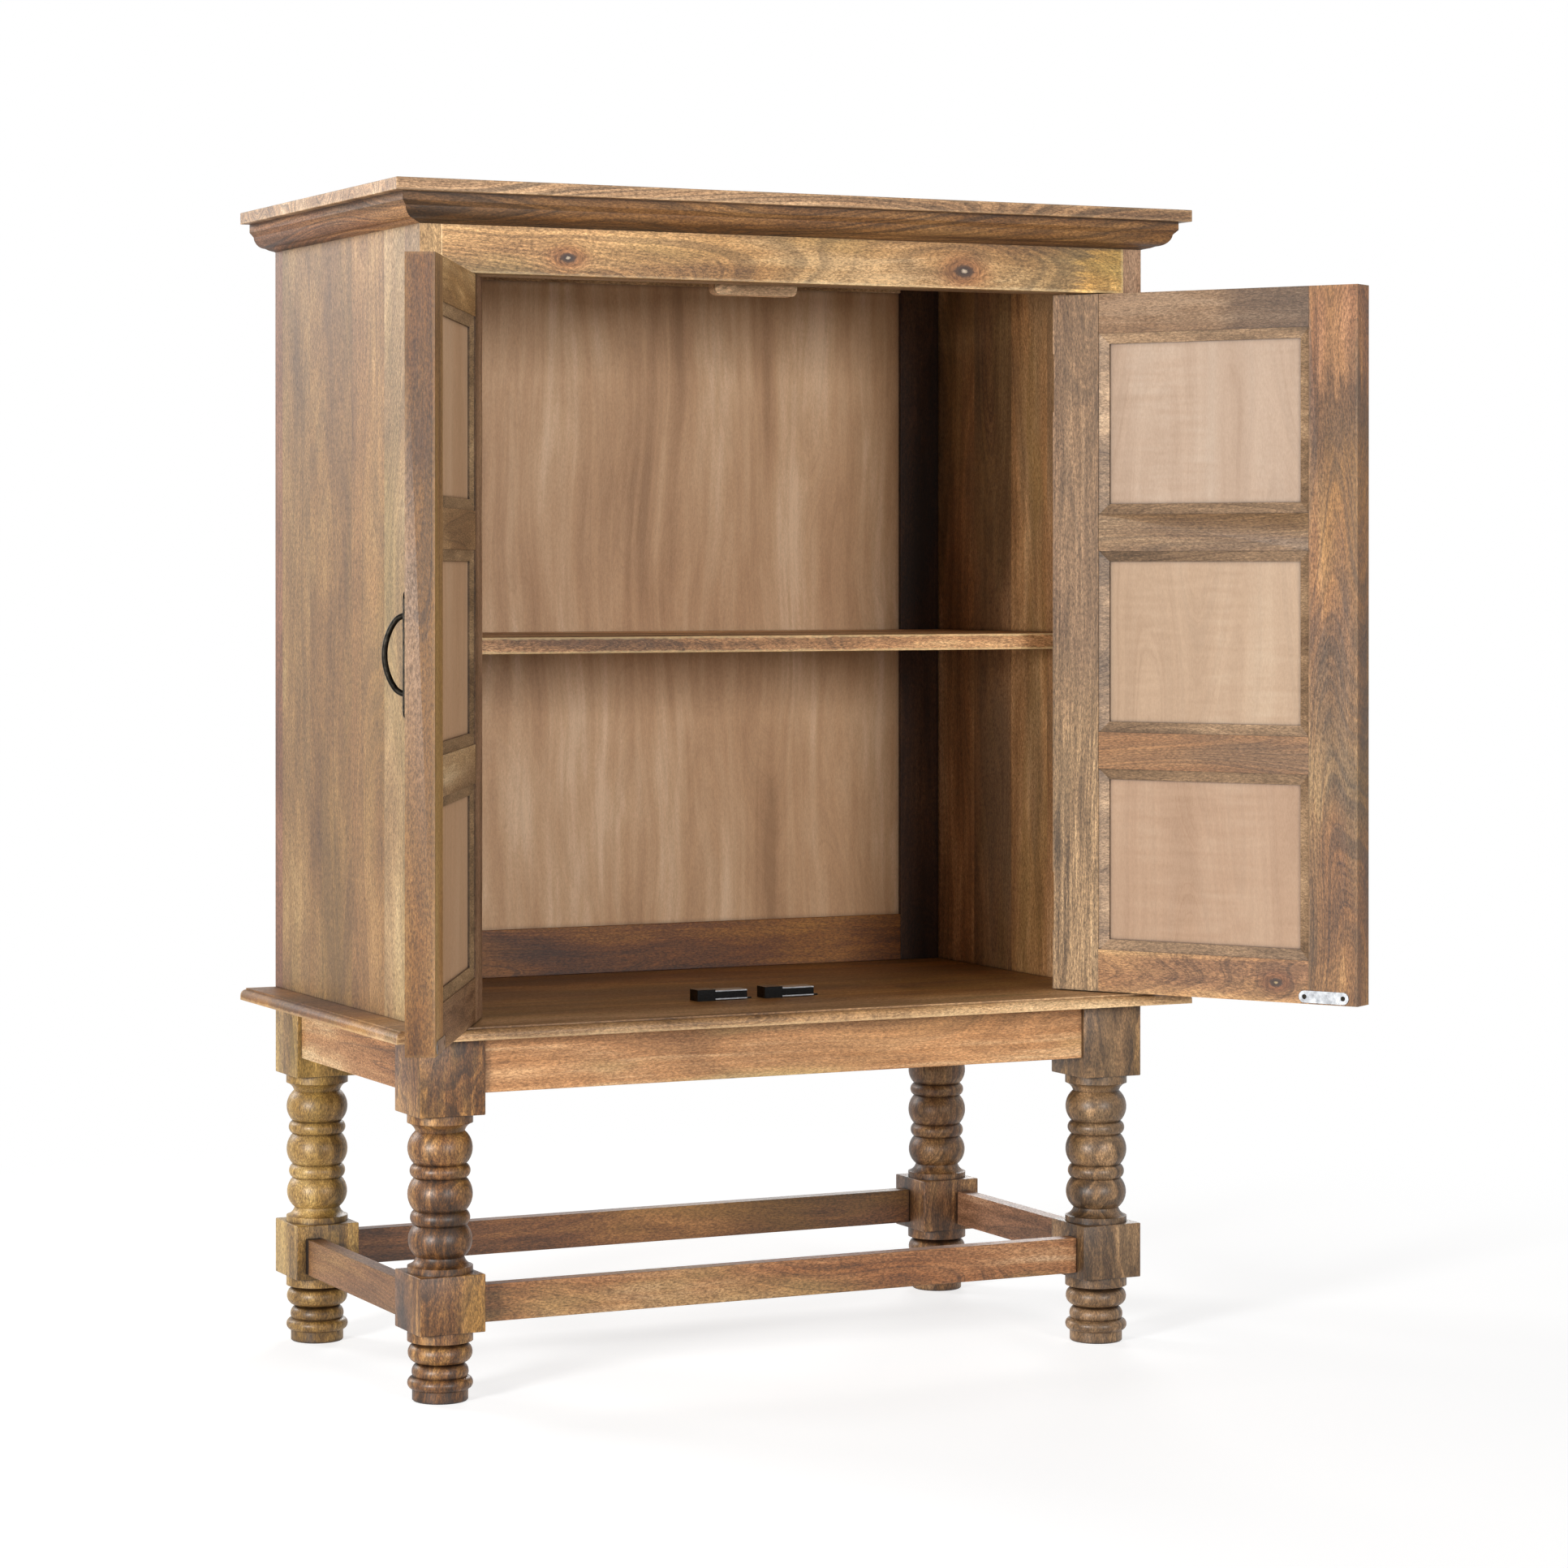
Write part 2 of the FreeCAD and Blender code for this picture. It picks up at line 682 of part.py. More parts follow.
pins = []
for side in (-1, 1):
    for middle in hinge_heights:
        foot = (side * pin_x, pin_y, middle - size.hinge_height / 2)
        top = (side * pin_x, pin_y, middle + size.hinge_height / 2)
        shank = rod(foot, z_axis, size.hinge_pin_radius, size.hinge_height)
        head = rod(top, z_axis, size.hinge_pin_head_radius, size.hinge_pin_head_height)
        pins.append(fuse([shank, head]))
piece("hinge_pins", case_spot, pins)

# Head rail over the doors with the door stop behind it
head_back = door_back + size.stop_gap
inner_x = (-inner_half, inner_half)
stop_z = (head_bottom - size.stop_drop, head_bottom - size.stop_drop + size.stop_height)
stop_y = (head_back, head_back + size.stop_thickness)
half_stop = size.stop_width / 2
stop_screws = [
    screw((side * half_stop / 2, stop_y[1], (stop_z[1] + head_bottom) / 2), -y_axis) for side in (-1, 1)
]
head = block(inner_x, (size.frame_setback, head_back), (head_bottom, case_top))
piece("head_rail", case_spot, [cut(head, list(high_tenons.values()))])
stop_outline = [
    (-half_stop, stop_z[1], 0, zero),
    (-half_stop, stop_z[0] + size.stop_corner, 1, size.stop_corner * (1 - cosine(size.mitre_angle))),
    (-half_stop + size.stop_corner, stop_z[0], 0, zero),
    (half_stop - size.stop_corner, stop_z[0], 1, size.stop_corner * (1 - cosine(size.mitre_angle))),
    (half_stop, stop_z[0] + size.stop_corner, 0, zero),
    (half_stop, stop_z[1], 0, zero),
]
stop_base = (zero, head_back, zero)
stop = moulding("stop_blank", "XZ_Plane", 1, stop_outline, size.stop_thickness, stop_base)
piece("door_stop_block", case_spot, [cut(stop, stop_screws)])
frame_screws += stop_screws
piece("frame_screws", case_spot, frame_screws)

# Cornice rail, whose face under the crown is the frieze, and the soffit from it to the head rail
soffit_y = (size.cornice_rail_thickness, size.frame_setback)
soffit_z = (head_bottom, head_bottom + size.soffit_thickness)
piece("soffit_board", case_spot, [block(inner_x, soffit_y, soffit_z)])
cornice_rail = block(inner_x, (zero, size.cornice_rail_thickness), (frieze_bottom, case_top))
piece("cornice_rail", case_spot, [cornice_rail])

# Crown moulding, mitred at the front corners
crown_points = []
for reach_share, height_share, turn, bulge_share in crown_shares:
    reach = reach_share * size.crown_reach
    rise = crown_bottom + height_share * size.crown_height
    crown_points.append((reach, rise, turn, bulge_share * size.crown_reach))
crown_half = half_case + size.crown_reach
front_run = moulding("crown_front_run", "YZ_Plane", -1, crown_points, 2 * crown_half, (-crown_half, zero, zero))
outer_start = -3 * size.crown_reach
front_wastes = [mitre_waste(-half_case, 3, -size.overrun), mitre_waste(half_case, 1, outer_start)]
piece("crown_front", case_spot, [cut(front_run, front_wastes)])
crown_length = size.case_depth + size.crown_reach
for side, place in side_names.items():
    run_base = (side * half_case, -size.crown_reach, zero)
    run = moulding("crown_side_run", "XZ_Plane", side, crown_points, crown_length, run_base)
    if side < 0:
        waste = mitre_waste(-half_case, -1, outer_start)
    else:
        waste = mitre_waste(half_case, -3, -size.overrun)
    piece(f"crown_{place}", case_spot, [cut(run, [waste])])

# Back: a frame of two stiles and two rails round a thin panel
back_y = (back_face, size.case_depth)
back_inner = inner_half - size.back_stile_width
low_rail_top = size.waist_top + size.back_rail_height
high_rail_bottom = case_top - size.back_rail_height
panel_y = (back_face + size.back_panel_recess, back_face + size.back_panel_recess + size.back_panel_thickness)
groove_x = back_inner + size.back_groove_depth
groove_z = (low_rail_top - size.back_groove_depth, high_rail_bottom + size.back_groove_depth)
groove = block((-groove_x, groove_x), panel_y, groove_z)
panel_x = groove_x - size.back_panel_play
panel_z = (groove_z[0] + size.back_panel_play, groove_z[1] - size.back_panel_play)
piece("back_panel", case_spot, [block((-panel_x, panel_x), panel_y, panel_z)])
for side, place in side_names.items():
    stile = block(span(side, back_inner, inner_half), back_y, (size.waist_top, case_top))
    piece(f"back_stile_{place}", case_spot, [cut(stile, [groove])])
back_x = (-back_inner, back_inner)
piece("back_rail_bottom", case_spot, [cut(block(back_x, back_y, (size.waist_top, low_rail_top)), [groove])])
piece("back_rail_top", case_spot, [cut(block(back_x, back_y, (high_rail_bottom, case_top)), [groove])])

# Doors, each in its own frame: origin at the hinge pin, drawn closed
rail_u = (size.hinge_half_gap + size.door_stile_width, door_reach - size.door_stile_width)
openings_height = door_top - door_bottom - size.door_top_rail - size.door_bottom_rail
opening_height = (openings_height - 2 * size.door_middle_rail) / 3
opening_step = opening_height + size.door_middle_rail
first_opening = door_bottom + size.door_bottom_rail
panel_inner = door_inner - size.door_panel_recess
panel_outer = panel_inner - size.door_panel_thickness


def door_rail(side, low, high):
    # A rail between the stiles, with its tenons.
    body = block(span(side, *rail_u), (door_outer, door_inner), (low, high))
    thick_low = (door_outer + door_inner - size.door_tenon_thickness) / 2
    thick = (thick_low, thick_low + size.door_tenon_thickness)
    tall = (low + size.door_tenon_shoulder, high - size.door_tenon_shoulder)
    hinge_end = span(side, rail_u[0] - size.door_tenon_length, rail_u[0])
    lock_end = span(side, rail_u[1], rail_u[1] + size.door_tenon_length)
    tenons = [block(end, thick, tall) for end in (hinge_end, lock_end)]
    return fuse([body] + tenons), tenons


def bead_strip(corner, along, inward, outward, run, depth):
    # A mitred strip round an opening: thick against the frame, thin towards the panel.
    rotation = FreeCAD.Rotation(along, inward, along.cross(inward), "XYZ")
    same_way = along.cross(inward).dot(outward) > 0
    strip = doc.addObject("Part::Wedge", "bead_strip")
    thin = size.bead_edge
    limits = {
        "Xmin": zero,
        "Xmax": run,
        "X2min": size.bead_width,
        "X2max": run - size.bead_width,
        "Ymin": zero,
        "Ymax": size.bead_width,
        "Zmin": zero if same_way else -depth,
        "Zmax": depth if same_way else zero,
        "Z2min": zero if same_way else -thin,
        "Z2max": thin if same_way else zero,
    }
    for prop, value in limits.items():
        bind(strip, prop, value)
    return put(strip, corner, rotation)


def bead_frame(side, low, outward):
    # Four strips round one opening, on the inner or the outer face of the panel.
    x = span(side, *rail_u)
    high = low + opening_height
    face = panel_inner if outward.y > 0 else panel_outer
    room = size.door_panel_recess if outward.y > 0 else panel_outer - door_outer
    depth = room - size.bead_lip
    wide = x[1] - x[0]
    return [
        bead_strip((x[0], face, low), x_axis, z_axis, outward, wide, depth),
        bead_strip((x[0], face, high), x_axis, -z_axis, outward, wide, depth),
        bead_strip((x[0], face, low), z_axis, x_axis, outward, opening_height, depth),
        bead_strip((x[1], face, low), z_axis, -x_axis, outward, opening_height, depth),
    ]


def slot_plate(middle_x, y, middle_z, length, width, upright):
    # A thin plate with round ends.
    half = width / 2
    straight = (length - width) / 2
    way = z_axis if upright else x_axis
    thickness = y[1] - y[0]
    if upright:
        body = block((middle_x - half, middle_x + half), y, (middle_z - straight, middle_z + straight))
    else:
        body = block((middle_x - straight, middle_x + straight), y, (middle_z - half, middle_z + half))
    ends = []
    for end in (-1, 1):
        spot = (middle_x + end * way.x * straight, y[0], middle_z + end * way.z * straight)
        ends.append(rod(spot, y_axis, half, thickness))
    return fuse([body] + ends)


def bent_bar(centre, bend_radius, angle, start, towards):
    # A stretch of round bar, bent about the centre from one direction towards another.
    item = doc.addObject("Part::Torus", "bend")
    bind(item, "Radius1", bend_radius)
    bind(item, "Radius2", size.handle_bar_radius)
    bind(item, "Angle3", angle)
    return put(item, centre, FreeCAD.Rotation(start, towards, start.cross(towards), "XYZ"))


def handle_bow(middle_x):
    # A round bar in three arcs: a tight one over each foot and a flat one between them.
    plate_face = door_outer - size.plate_thickness
    tight = size.handle_end_radius
    offset = size.handle_feet_spread / 2 - tight
    rise = plate_face - handle_grip
    spare = rise - tight
    # The flat arc's centre lies this far behind the plate's face, in line with where the arcs meet.
    depth = (offset * offset - spare * spare) / (2 * spare)
    grip_centre = (middle_x, plate_face + depth, handle_middle)
    solids = []
    for end in (-1, 1):
        foot_way = z_axis * end
        foot_centre = (middle_x, plate_face, handle_middle + end * offset)
        solids.append(bent_bar(foot_centre, tight, slope_angle(depth, offset), foot_way, -y_axis))
        solids.append(bent_bar(grip_centre, rise + depth, slope_angle(offset, depth), -y_axis, foot_way))
    return fuse(solids)


for side, place in side_names.items():
    spot = door_spot(side)
    inward = -side
    openings = [first_opening + row * opening_step for row in (0, 1, 2)]
    rails = {
        "rail_bottom": [(door_bottom, first_opening)],
        "rails_middle": [(low + opening_height, low + opening_step) for low in openings[:2]],
        "rail_top": [(openings[2] + opening_height, door_top)],
    }
    groove_u = (rail_u[0] - size.door_groove_depth, rail_u[1] + size.door_groove_depth)
    panel_u = (groove_u[0] + size.door_panel_play, groove_u[1] - size.door_panel_play)
    grooves = []
    panels = []
    for low in openings:
        tall = (low - size.door_groove_depth, low + opening_height + size.door_groove_depth)
        grooves.append(block(span(inward, *groove_u), (panel_outer, panel_inner), tall))
        tall = (tall[0] + size.door_panel_play, tall[1] - size.door_panel_play)
        panels.append(block(span(inward, *panel_u), (panel_outer, panel_inner), tall))
    strike_x = inward * strike_line
    strike_y = (door_inner, door_inner + size.strike_thickness)
    strike_z = door_bottom + size.strike_rise
    strike_screws = []
    for end in (-1, 1):
        screw_x = strike_x + end * size.strike_screw_spread / 2
        strike_screws.append(screw((screw_x, strike_y[1], strike_z), -y_axis))
    strike = slot_plate(strike_x, strike_y, strike_z, size.strike_length, size.strike_width, False)
    piece(f"{place}_strike_plate", spot, [cut(strike, strike_screws)])

    mortises = []
    for name, limits in rails.items():
        made = [door_rail(inward, low, high) for low, high in limits]
        mortises += [tenon for _, tenons in made for tenon in tenons]
        rail_cuts = grooves + strike_screws if name == "rail_bottom" else grooves
        piece(f"{place}_door_{name}", spot, [cut(rail, rail_cuts) for rail, _ in made])
    piece(f"{place}_door_panels", spot, panels)
    beads = []
    for low in openings:
        beads += bead_frame(inward, low, y_axis)
        beads += bead_frame(inward, low, -y_axis)
    piece(f"{place}_door_beading", spot, beads)

    leaves, gains, screws = hinge_leaf(
        inward, zero, zero, (1, 3), size.hinge_pin_radius + size.hinge_pin_clearance
    )
    piece(f"{place}_door_hinge_leaves", spot, leaves)

    plate_x = inward * handle_line
    plate_y = (door_outer - size.plate_thickness, door_outer)
    plate_reach = size.plate_length / 2 - size.plate_screw_inset
    plate_screws = []
    for end in (-1, 1):
        plate_screws.append(screw((plate_x, plate_y[0], handle_middle + end * plate_reach), y_axis))
    plate = slot_plate(plate_x, plate_y, handle_middle, size.plate_length, size.plate_width, True)
    piece(f"{place}_handle_plate", spot, [cut(plate, plate_screws)])
    piece(f"{place}_handle", spot, [handle_bow(plate_x)])

    stile_z = (door_bottom, door_top)
    stile_y = (door_outer, door_inner)
    hinge_stile = block(span(inward, size.hinge_half_gap, rail_u[0]), stile_y, stile_z)
    lock_stile = block(span(inward, rail_u[1], door_reach), stile_y, stile_z)
    piece(f"{place}_door_hinge_stile", spot, [cut(hinge_stile, mortises + grooves + gains + screws)])
    lock_cuts = mortises + grooves + plate_screws + strike_screws
    piece(f"{place}_door_lock_stile", spot, [cut(lock_stile, lock_cuts)])
    piece(f"{place}_door_screws", spot, screws + plate_screws + strike_screws)

doc.recompute()
for item in doc.Objects:
    if "Invalid" in item.State or "Error" in item.State:
        raise RuntimeError(f"{item.Name} failed: {item.State}")
for item in parts:
    shape = item.Shape
    if shape.isNull() or not shape.isValid() or not shape.Solids:
        raise RuntimeError(f"{item.Label} has no valid shape")
for item in parts:
    item.Shape.exportStep(f"parts/{item.Label}.step")
print(len(parts), "sub-parts written")
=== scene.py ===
import bpy
import json
import math
from mathutils import Matrix, Vector


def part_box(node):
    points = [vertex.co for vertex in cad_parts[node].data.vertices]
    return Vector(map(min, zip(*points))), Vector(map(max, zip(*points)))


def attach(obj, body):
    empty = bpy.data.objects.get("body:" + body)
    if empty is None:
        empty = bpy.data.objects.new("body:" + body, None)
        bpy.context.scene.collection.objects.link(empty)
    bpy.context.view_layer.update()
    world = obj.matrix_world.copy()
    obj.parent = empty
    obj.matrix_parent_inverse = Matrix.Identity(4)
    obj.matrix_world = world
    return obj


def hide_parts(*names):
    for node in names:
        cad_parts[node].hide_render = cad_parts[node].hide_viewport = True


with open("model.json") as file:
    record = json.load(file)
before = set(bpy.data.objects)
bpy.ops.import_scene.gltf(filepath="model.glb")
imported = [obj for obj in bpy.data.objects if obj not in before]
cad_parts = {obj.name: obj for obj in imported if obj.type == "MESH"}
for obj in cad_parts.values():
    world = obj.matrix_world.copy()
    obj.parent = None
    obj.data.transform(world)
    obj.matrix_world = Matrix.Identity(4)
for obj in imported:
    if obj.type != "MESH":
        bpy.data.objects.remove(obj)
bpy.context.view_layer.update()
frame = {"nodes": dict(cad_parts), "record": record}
nodes = frame["nodes"]
print("frame loaded:", len(nodes), "nodes")

hingeAt = {j["child"]: Vector(j["pos_m"]) for j in frame["record"]["behaviour"]["joints"]}
doorTurn = {"left_door": -119.1, "right_door": 122.1}  # degrees open in the photograph


def screenColour(code):
    # a colour as a screen shows it, turned into the linear values that shaders take
    parts = [int(code[i:i + 2], 16) / 255 for i in (0, 2, 4)]
    return tuple(p / 12.92 if p <= 0.04045 else ((p + 0.055) / 1.055) ** 2.4 for p in parts) + (1.0,)


def greyTone(level):
    return (level, level, level, 1.0)


def nothingSelected():
    if bpy.context.object and bpy.context.object.mode != "OBJECT":
        bpy.ops.object.mode_set(mode="OBJECT")
    bpy.ops.object.select_all(action="DESELECT")


def selectOnly(*objects):
    nothingSelected()
    for item in objects:
        item.select_set(True)
    bpy.context.view_layer.objects.active = objects[0]


def addNode(tree, kind, inputs=None, **settings):
    node = tree.nodes.new(kind)
    for key, value in settings.items():
        setattr(node, key, value)
    for key, value in (inputs or {}).items():
        if isinstance(value, bpy.types.NodeSocket):
            tree.links.new(value, node.inputs[key])
        else:
            node.inputs[key].default_value = value
    return node


def sums(tree, operation, *values):
    node = addNode(tree, "ShaderNodeMath", dict(enumerate(values)), operation=operation)
    return node.outputs[0]


def arrows(tree, operation, *values):
    node = addNode(tree, "ShaderNodeVectorMath", dict(enumerate(values)), operation=operation)
    return node.outputs[0]


def cloud(tree, place, detail, rough, colour=False):
    inputs = {"Vector": place, "Scale": 1.0, "Detail": detail, "Roughness": rough}
    return addNode(tree, "ShaderNodeTexNoise", inputs).outputs["Color" if colour else "Fac"]


# repeats in a metre along, across and into the grain, then detail and roughness
grainNoises = {
    "bend": ((2.8, 7.0, 7.0), 1.0, 0.4),
    "speckle": ((190.0, 560.0, 560.0), 3.0, 0.75),
    "pores": ((70.0, 900.0, 900.0), 1.0, 0.5),
    "contours": ((0.9, 7.0, 7.0), 1.0, 0.4),
    "heart": ((8.0, 15.0, 15.0), 2.0, 0.5),
    "curl": ((110.0, 13.0, 13.0), 1.0, 0.5),
    "curlPlaces": ((3.0, 7.0, 7.0), 1.0, 0.5),
    "arris": ((70.0, 70.0, 70.0), 2.0, 0.6),
}


def grainNoise(tree, place, kind, colour=False):
    scale, detail, rough = grainNoises[kind]
    return cloud(tree, arrows(tree, "MULTIPLY", place, scale), detail, rough, colour)


def lines(tree, distance):
    # noise along one measure, which gives the rings
    inputs = {"W": distance, "Scale": 1.0, "Detail": 3.0, "Roughness": 0.6}
    return addNode(tree, "ShaderNodeTexNoise", inputs, noise_dimensions="1D").outputs["Fac"]


def ramp(tree, factor, stops, steps=False):
    node = addNode(tree, "ShaderNodeValToRGB", {"Fac": factor})
    band = node.color_ramp
    band.interpolation = "CONSTANT" if steps else "LINEAR"
    while len(band.elements) < len(stops):
        band.elements.new(1.0)
    for element, (position, colour) in zip(band.elements, stops):
        element.position = position
        if isinstance(colour, str):
            colour = screenColour(colour)
        elif not hasattr(colour, "__len__"):
            colour = greyTone(colour)
        element.color = colour
    return node.outputs["Color"]


def blendIn(tree, way, amount, base, over):
    inputs = {0: amount, 6: base, 7: over}  # a mix node's sockets for colours
    return addNode(tree, "ShaderNodeMix", inputs, data_type="RGBA", blend_type=way).outputs[2]


def between(tree, value, low, high, newLow=0.0, newHigh=1.0, smooth=False):
    node = addNode(tree, "ShaderNodeMapRange", {0: value, 1: low, 2: high, 3: newLow, 4: newHigh})
    node.interpolation_type = "SMOOTHSTEP" if smooth else "LINEAR"
    return node.outputs[0]


# five tones of each wood, dark to light, as a screen shows them
woodTones = {
    "sand": ("7f6043", "9c7a57", "ae8b66", "c4a27c", "dcbf9b"),
    "rose": ("7c5845", "9a7159", "b0876b", "c5a083", "dcbca2"),
    "cream": ("957557", "b09070", "c2a583", "d2b999", "e6d2b6"),
    "honey": ("7a5736", "9a744a", "b18a5c", "c9a374", "e0c096"),
    "olive": ("4d3a1e", "6e5430", "8b6d45", "a88a5e", "c6aa7c"),
    "brown": ("45301c", "664930", "83624a", "a07f5f", "bd9c7a"),
    "grey": ("574838", "776552", "8f7b66", "aa957e", "c9b59d"),
    "copper": ("7c4a27", "a5683a", "bf8050", "d59c6c", "e8bb90"),
    "russet": ("5a3821", "7b5235", "98694a", "b48764", "d0a684"),
    "veneer": ("a5805c", "b8926d", "c5a07b", "d0ae8b", "e0c3a4"),
    "shell": ("b08f74", "c2a387", "cfb196", "d9bfa6", "e6d0ba"),
}

plainWood = {
    "tones": "sand",
    "gain": (1.0, 1.0, 1.0),    # trims the wood's red, green and blue
    "grain": "XZY",             # axes along, across and into the grain
    "origin": (0.0, 0.0, 0.0),  # where the piece's own frame stands, and its turn in degrees
    "turn": 0.0,
    "seed": 0.0,                # moves the figure on, so that no two boards share it
    "warp": 0.018,              # how far the grain runs out of true
    "spread": (0.39, 0.61),     # how much of the figure the five tones take
    "mix": (0.62, 0.22, 0.16),  # shares of patches, streaks and speckle in the figure
    "patches": (2.3, 11.0),     # repeats in a metre along the grain and across it
    "streaks": (1.3, 70.0),
    "speckle": 0.36,            # how deep the fine speckle is
    "pores": 0.20,
    "rings": (46.0, 0.16),      # contour lines of the figure: how many, how deep
    "veins": ("3a2414", 0.55, 0.020),   # colour, strength, width
    "tints": (),                # (colour, strength, where it starts, where it is full)
    "boards": None,             # (axis number, low, high, ((start, tint), ...))
    "zones": None,              # (axis number, low, high, ((share, tint), ...))
    "knots": (),                # (along, across, size)
    "faces": (),                # (axis number, where the face lies, tint)
    "pith": None,               # (across, into, lean, rings a metre): rings round a tree's heart
    "ripple": 0.0,              # how deep the curly figure is
    "shadeAndDirt": 0.5,               # painted shade and dirt in corners, 0 to 1
    "sheenAndWear": 0.0,                # pale arrises: painted highlight and wear, 0 to 1
    "gloss": 0.50,              # middle of the roughness
    "bump": 0.35,
}

# what all woods share; a pair of places says at which level of its noise a thing starts and is full
figureRules = {
    "seedSteps": (1.7, 0.31, 0.23),
    "boardSteps": (0.371, 0.617, 0.829),    # the figure's jumps from one glued board to the next
    "boardReach": (4.0, 0.6, 0.6),
    "tintScale": (1.7, 9.0, 9.0),
    "heartWander": 0.065,
    "curlPlaces": (0.42, 0.56),
    "ringPlaces": (0.34, 0.60),
    "ringLift": 0.35,
    "veinPlaces": (0.56, 0.42),
    "speckleLow": 0.36,
    "speckleHigh": 0.64,
    "porePlaces": (0.60, 0.68),
    "poreTone": (0.25, 0.18, 0.12, 1.0),
    "zoneWander": 0.30,                     # share of the zones' whole length
    "facePlaces": (0.0012, 0.0005),
    # painted highlight and wear along the arrises: its width and pale tone
    "sheenAndWearWidth": 0.0022,
    "sheenAndWearTone": "c9a983",
    # painted shade and dirt in corners: the occlusion reach, its levels and the dark tone
    "shadeAndDirtReach": 0.007,
    "shadeAndDirtPlaces": (0.92, 0.45),
    "shadeAndDirtTone": "4a3220",
    "roughSpread": (0.08, -0.05),
    "roughPlaces": (0.35, 0.65),
    "relief": 0.0006,
}

knotShape = {
    "length": 1.7,          # a knot's length to its width
    "pull": 1.6,            # how far the grain is drawn round it
    "softness": 0.5,
    "edge": (1.0, 0.4),
    "halo": (2.6, 0.7),
    "haloTone": "cf8f5c",
    "haloStrength": 0.55,
    "tones": ((0.0, "b5a28e"), (0.16, "a08a74"), (0.24, "2a1812"), (0.46, "3c2618"),
              (0.60, "241510"), (0.80, "7a5338"), (1.0, "8a6040")),
}


def pieceBox(name, origin, turn):
    # a piece's own box, in the frame that its wood is measured in
    back = Matrix.Rotation(-math.radians(turn), 4, "Z") @ Matrix.Translation(-Vector(origin))
    corners = [back @ v.co for v in nodes[name].data.vertices]
    return [(min(c[i] for c in corners), max(c[i] for c in corners)) for i in range(3)]


def arrisMask(tree, place, limits, width):
    # near an edge of the box two of the three distances to its faces are small
    split = addNode(tree, "ShaderNodeSeparateXYZ", {0: place})
    away = []
    for value, (low, high) in zip(split.outputs, limits):
        fromLow = sums(tree, "SUBTRACT", value, low)
        fromHigh = sums(tree, "SUBTRACT", high, value)
        away.append(sums(tree, "MINIMUM", fromLow, fromHigh))
    least = sums(tree, "MINIMUM", away[0], away[1])
    most = sums(tree, "MAXIMUM", away[0], away[1])
    second = sums(tree, "MAXIMUM", least, sums(tree, "MINIMUM", most, away[2]))
    ragged = sums(tree, "MULTIPLY_ADD", grainNoise(tree, place, "arris"), -2.6 * width, second)
    return between(tree, ragged, 0.6 * width, -0.7 * width, smooth=True)


def boardSteps(tree, boards, axes):
    # the tint of each glued board, and how far its figure is moved
    axis, low, high, cuts = boards
    share = between(tree, axes[axis], low, high)
    stops = [((start - low) / (high - low), tint) for start, tint in cuts]
    jumps = []
    for number, (position, tint) in enumerate(stops):
        jump = tuple((number * step) % 1 for step in figureRules["boardSteps"])
        jumps.append((position, jump + (1.0,)))
    shift = arrows(tree, "MULTIPLY", ramp(tree, share, jumps, steps=True), figureRules["boardReach"])
    return ramp(tree, share, stops, steps=True), shift


def knotField(tree, knots, along, across):
    # draws the grain round each knot, and gives the knots' mask, halo and distance from their eyes
    knotMask = None
    haloMask = None
    knotEye = None
    for knotAlong, knotAcross, reach in knots:
        run = sums(tree, "DIVIDE", sums(tree, "SUBTRACT", along, knotAlong), knotShape["length"])
        side = sums(tree, "SUBTRACT", across, knotAcross)
        squared = sums(tree, "ADD", sums(tree, "MULTIPLY", run, run), sums(tree, "MULTIPLY", side, side))
        softened = sums(tree, "ADD", squared, reach * reach * knotShape["softness"])
        pull = sums(tree, "DIVIDE", reach * reach * knotShape["pull"], softened)
        across = sums(tree, "SUBTRACT", across, sums(tree, "MULTIPLY", side, pull))
        away = sums(tree, "SQRT", squared)
        mask, halo = (between(tree, away, reach * outer, reach * inner, smooth=True)
                      for outer, inner in (knotShape["edge"], knotShape["halo"]))
        eye = sums(tree, "DIVIDE", away, reach)
        knotMask = mask if knotMask is None else sums(tree, "MAXIMUM", knotMask, mask)
        haloMask = halo if haloMask is None else sums(tree, "MAXIMUM", haloMask, halo)
        knotEye = eye if knotEye is None else sums(tree, "MINIMUM", knotEye, eye)
    return across, knotMask, haloMask, knotEye


def ringField(tree, look, flat, grain, axes):
    # contours of a slow noise, or rings round the tree's heart where its place is given
    if not look["pith"]:
        return sums(tree, "MULTIPLY", grainNoise(tree, grain, "contours"), look["rings"][0])
    along, across, deep = axes
    besideHeart, behindHeart, lean, perMetre = look["pith"]
    side = sums(tree, "SUBTRACT", across, sums(tree, "MULTIPLY_ADD", along, lean, besideHeart))
    behind = sums(tree, "SUBTRACT", deep, behindHeart)
    squared = sums(tree, "MULTIPLY_ADD", side, side, sums(tree, "MULTIPLY", behind, behind))
    away = sums(tree, "SQRT", squared)
    away = sums(tree, "MULTIPLY_ADD", grainNoise(tree, flat, "heart"), figureRules["heartWander"], away)
    return sums(tree, "MULTIPLY", away, perMetre)


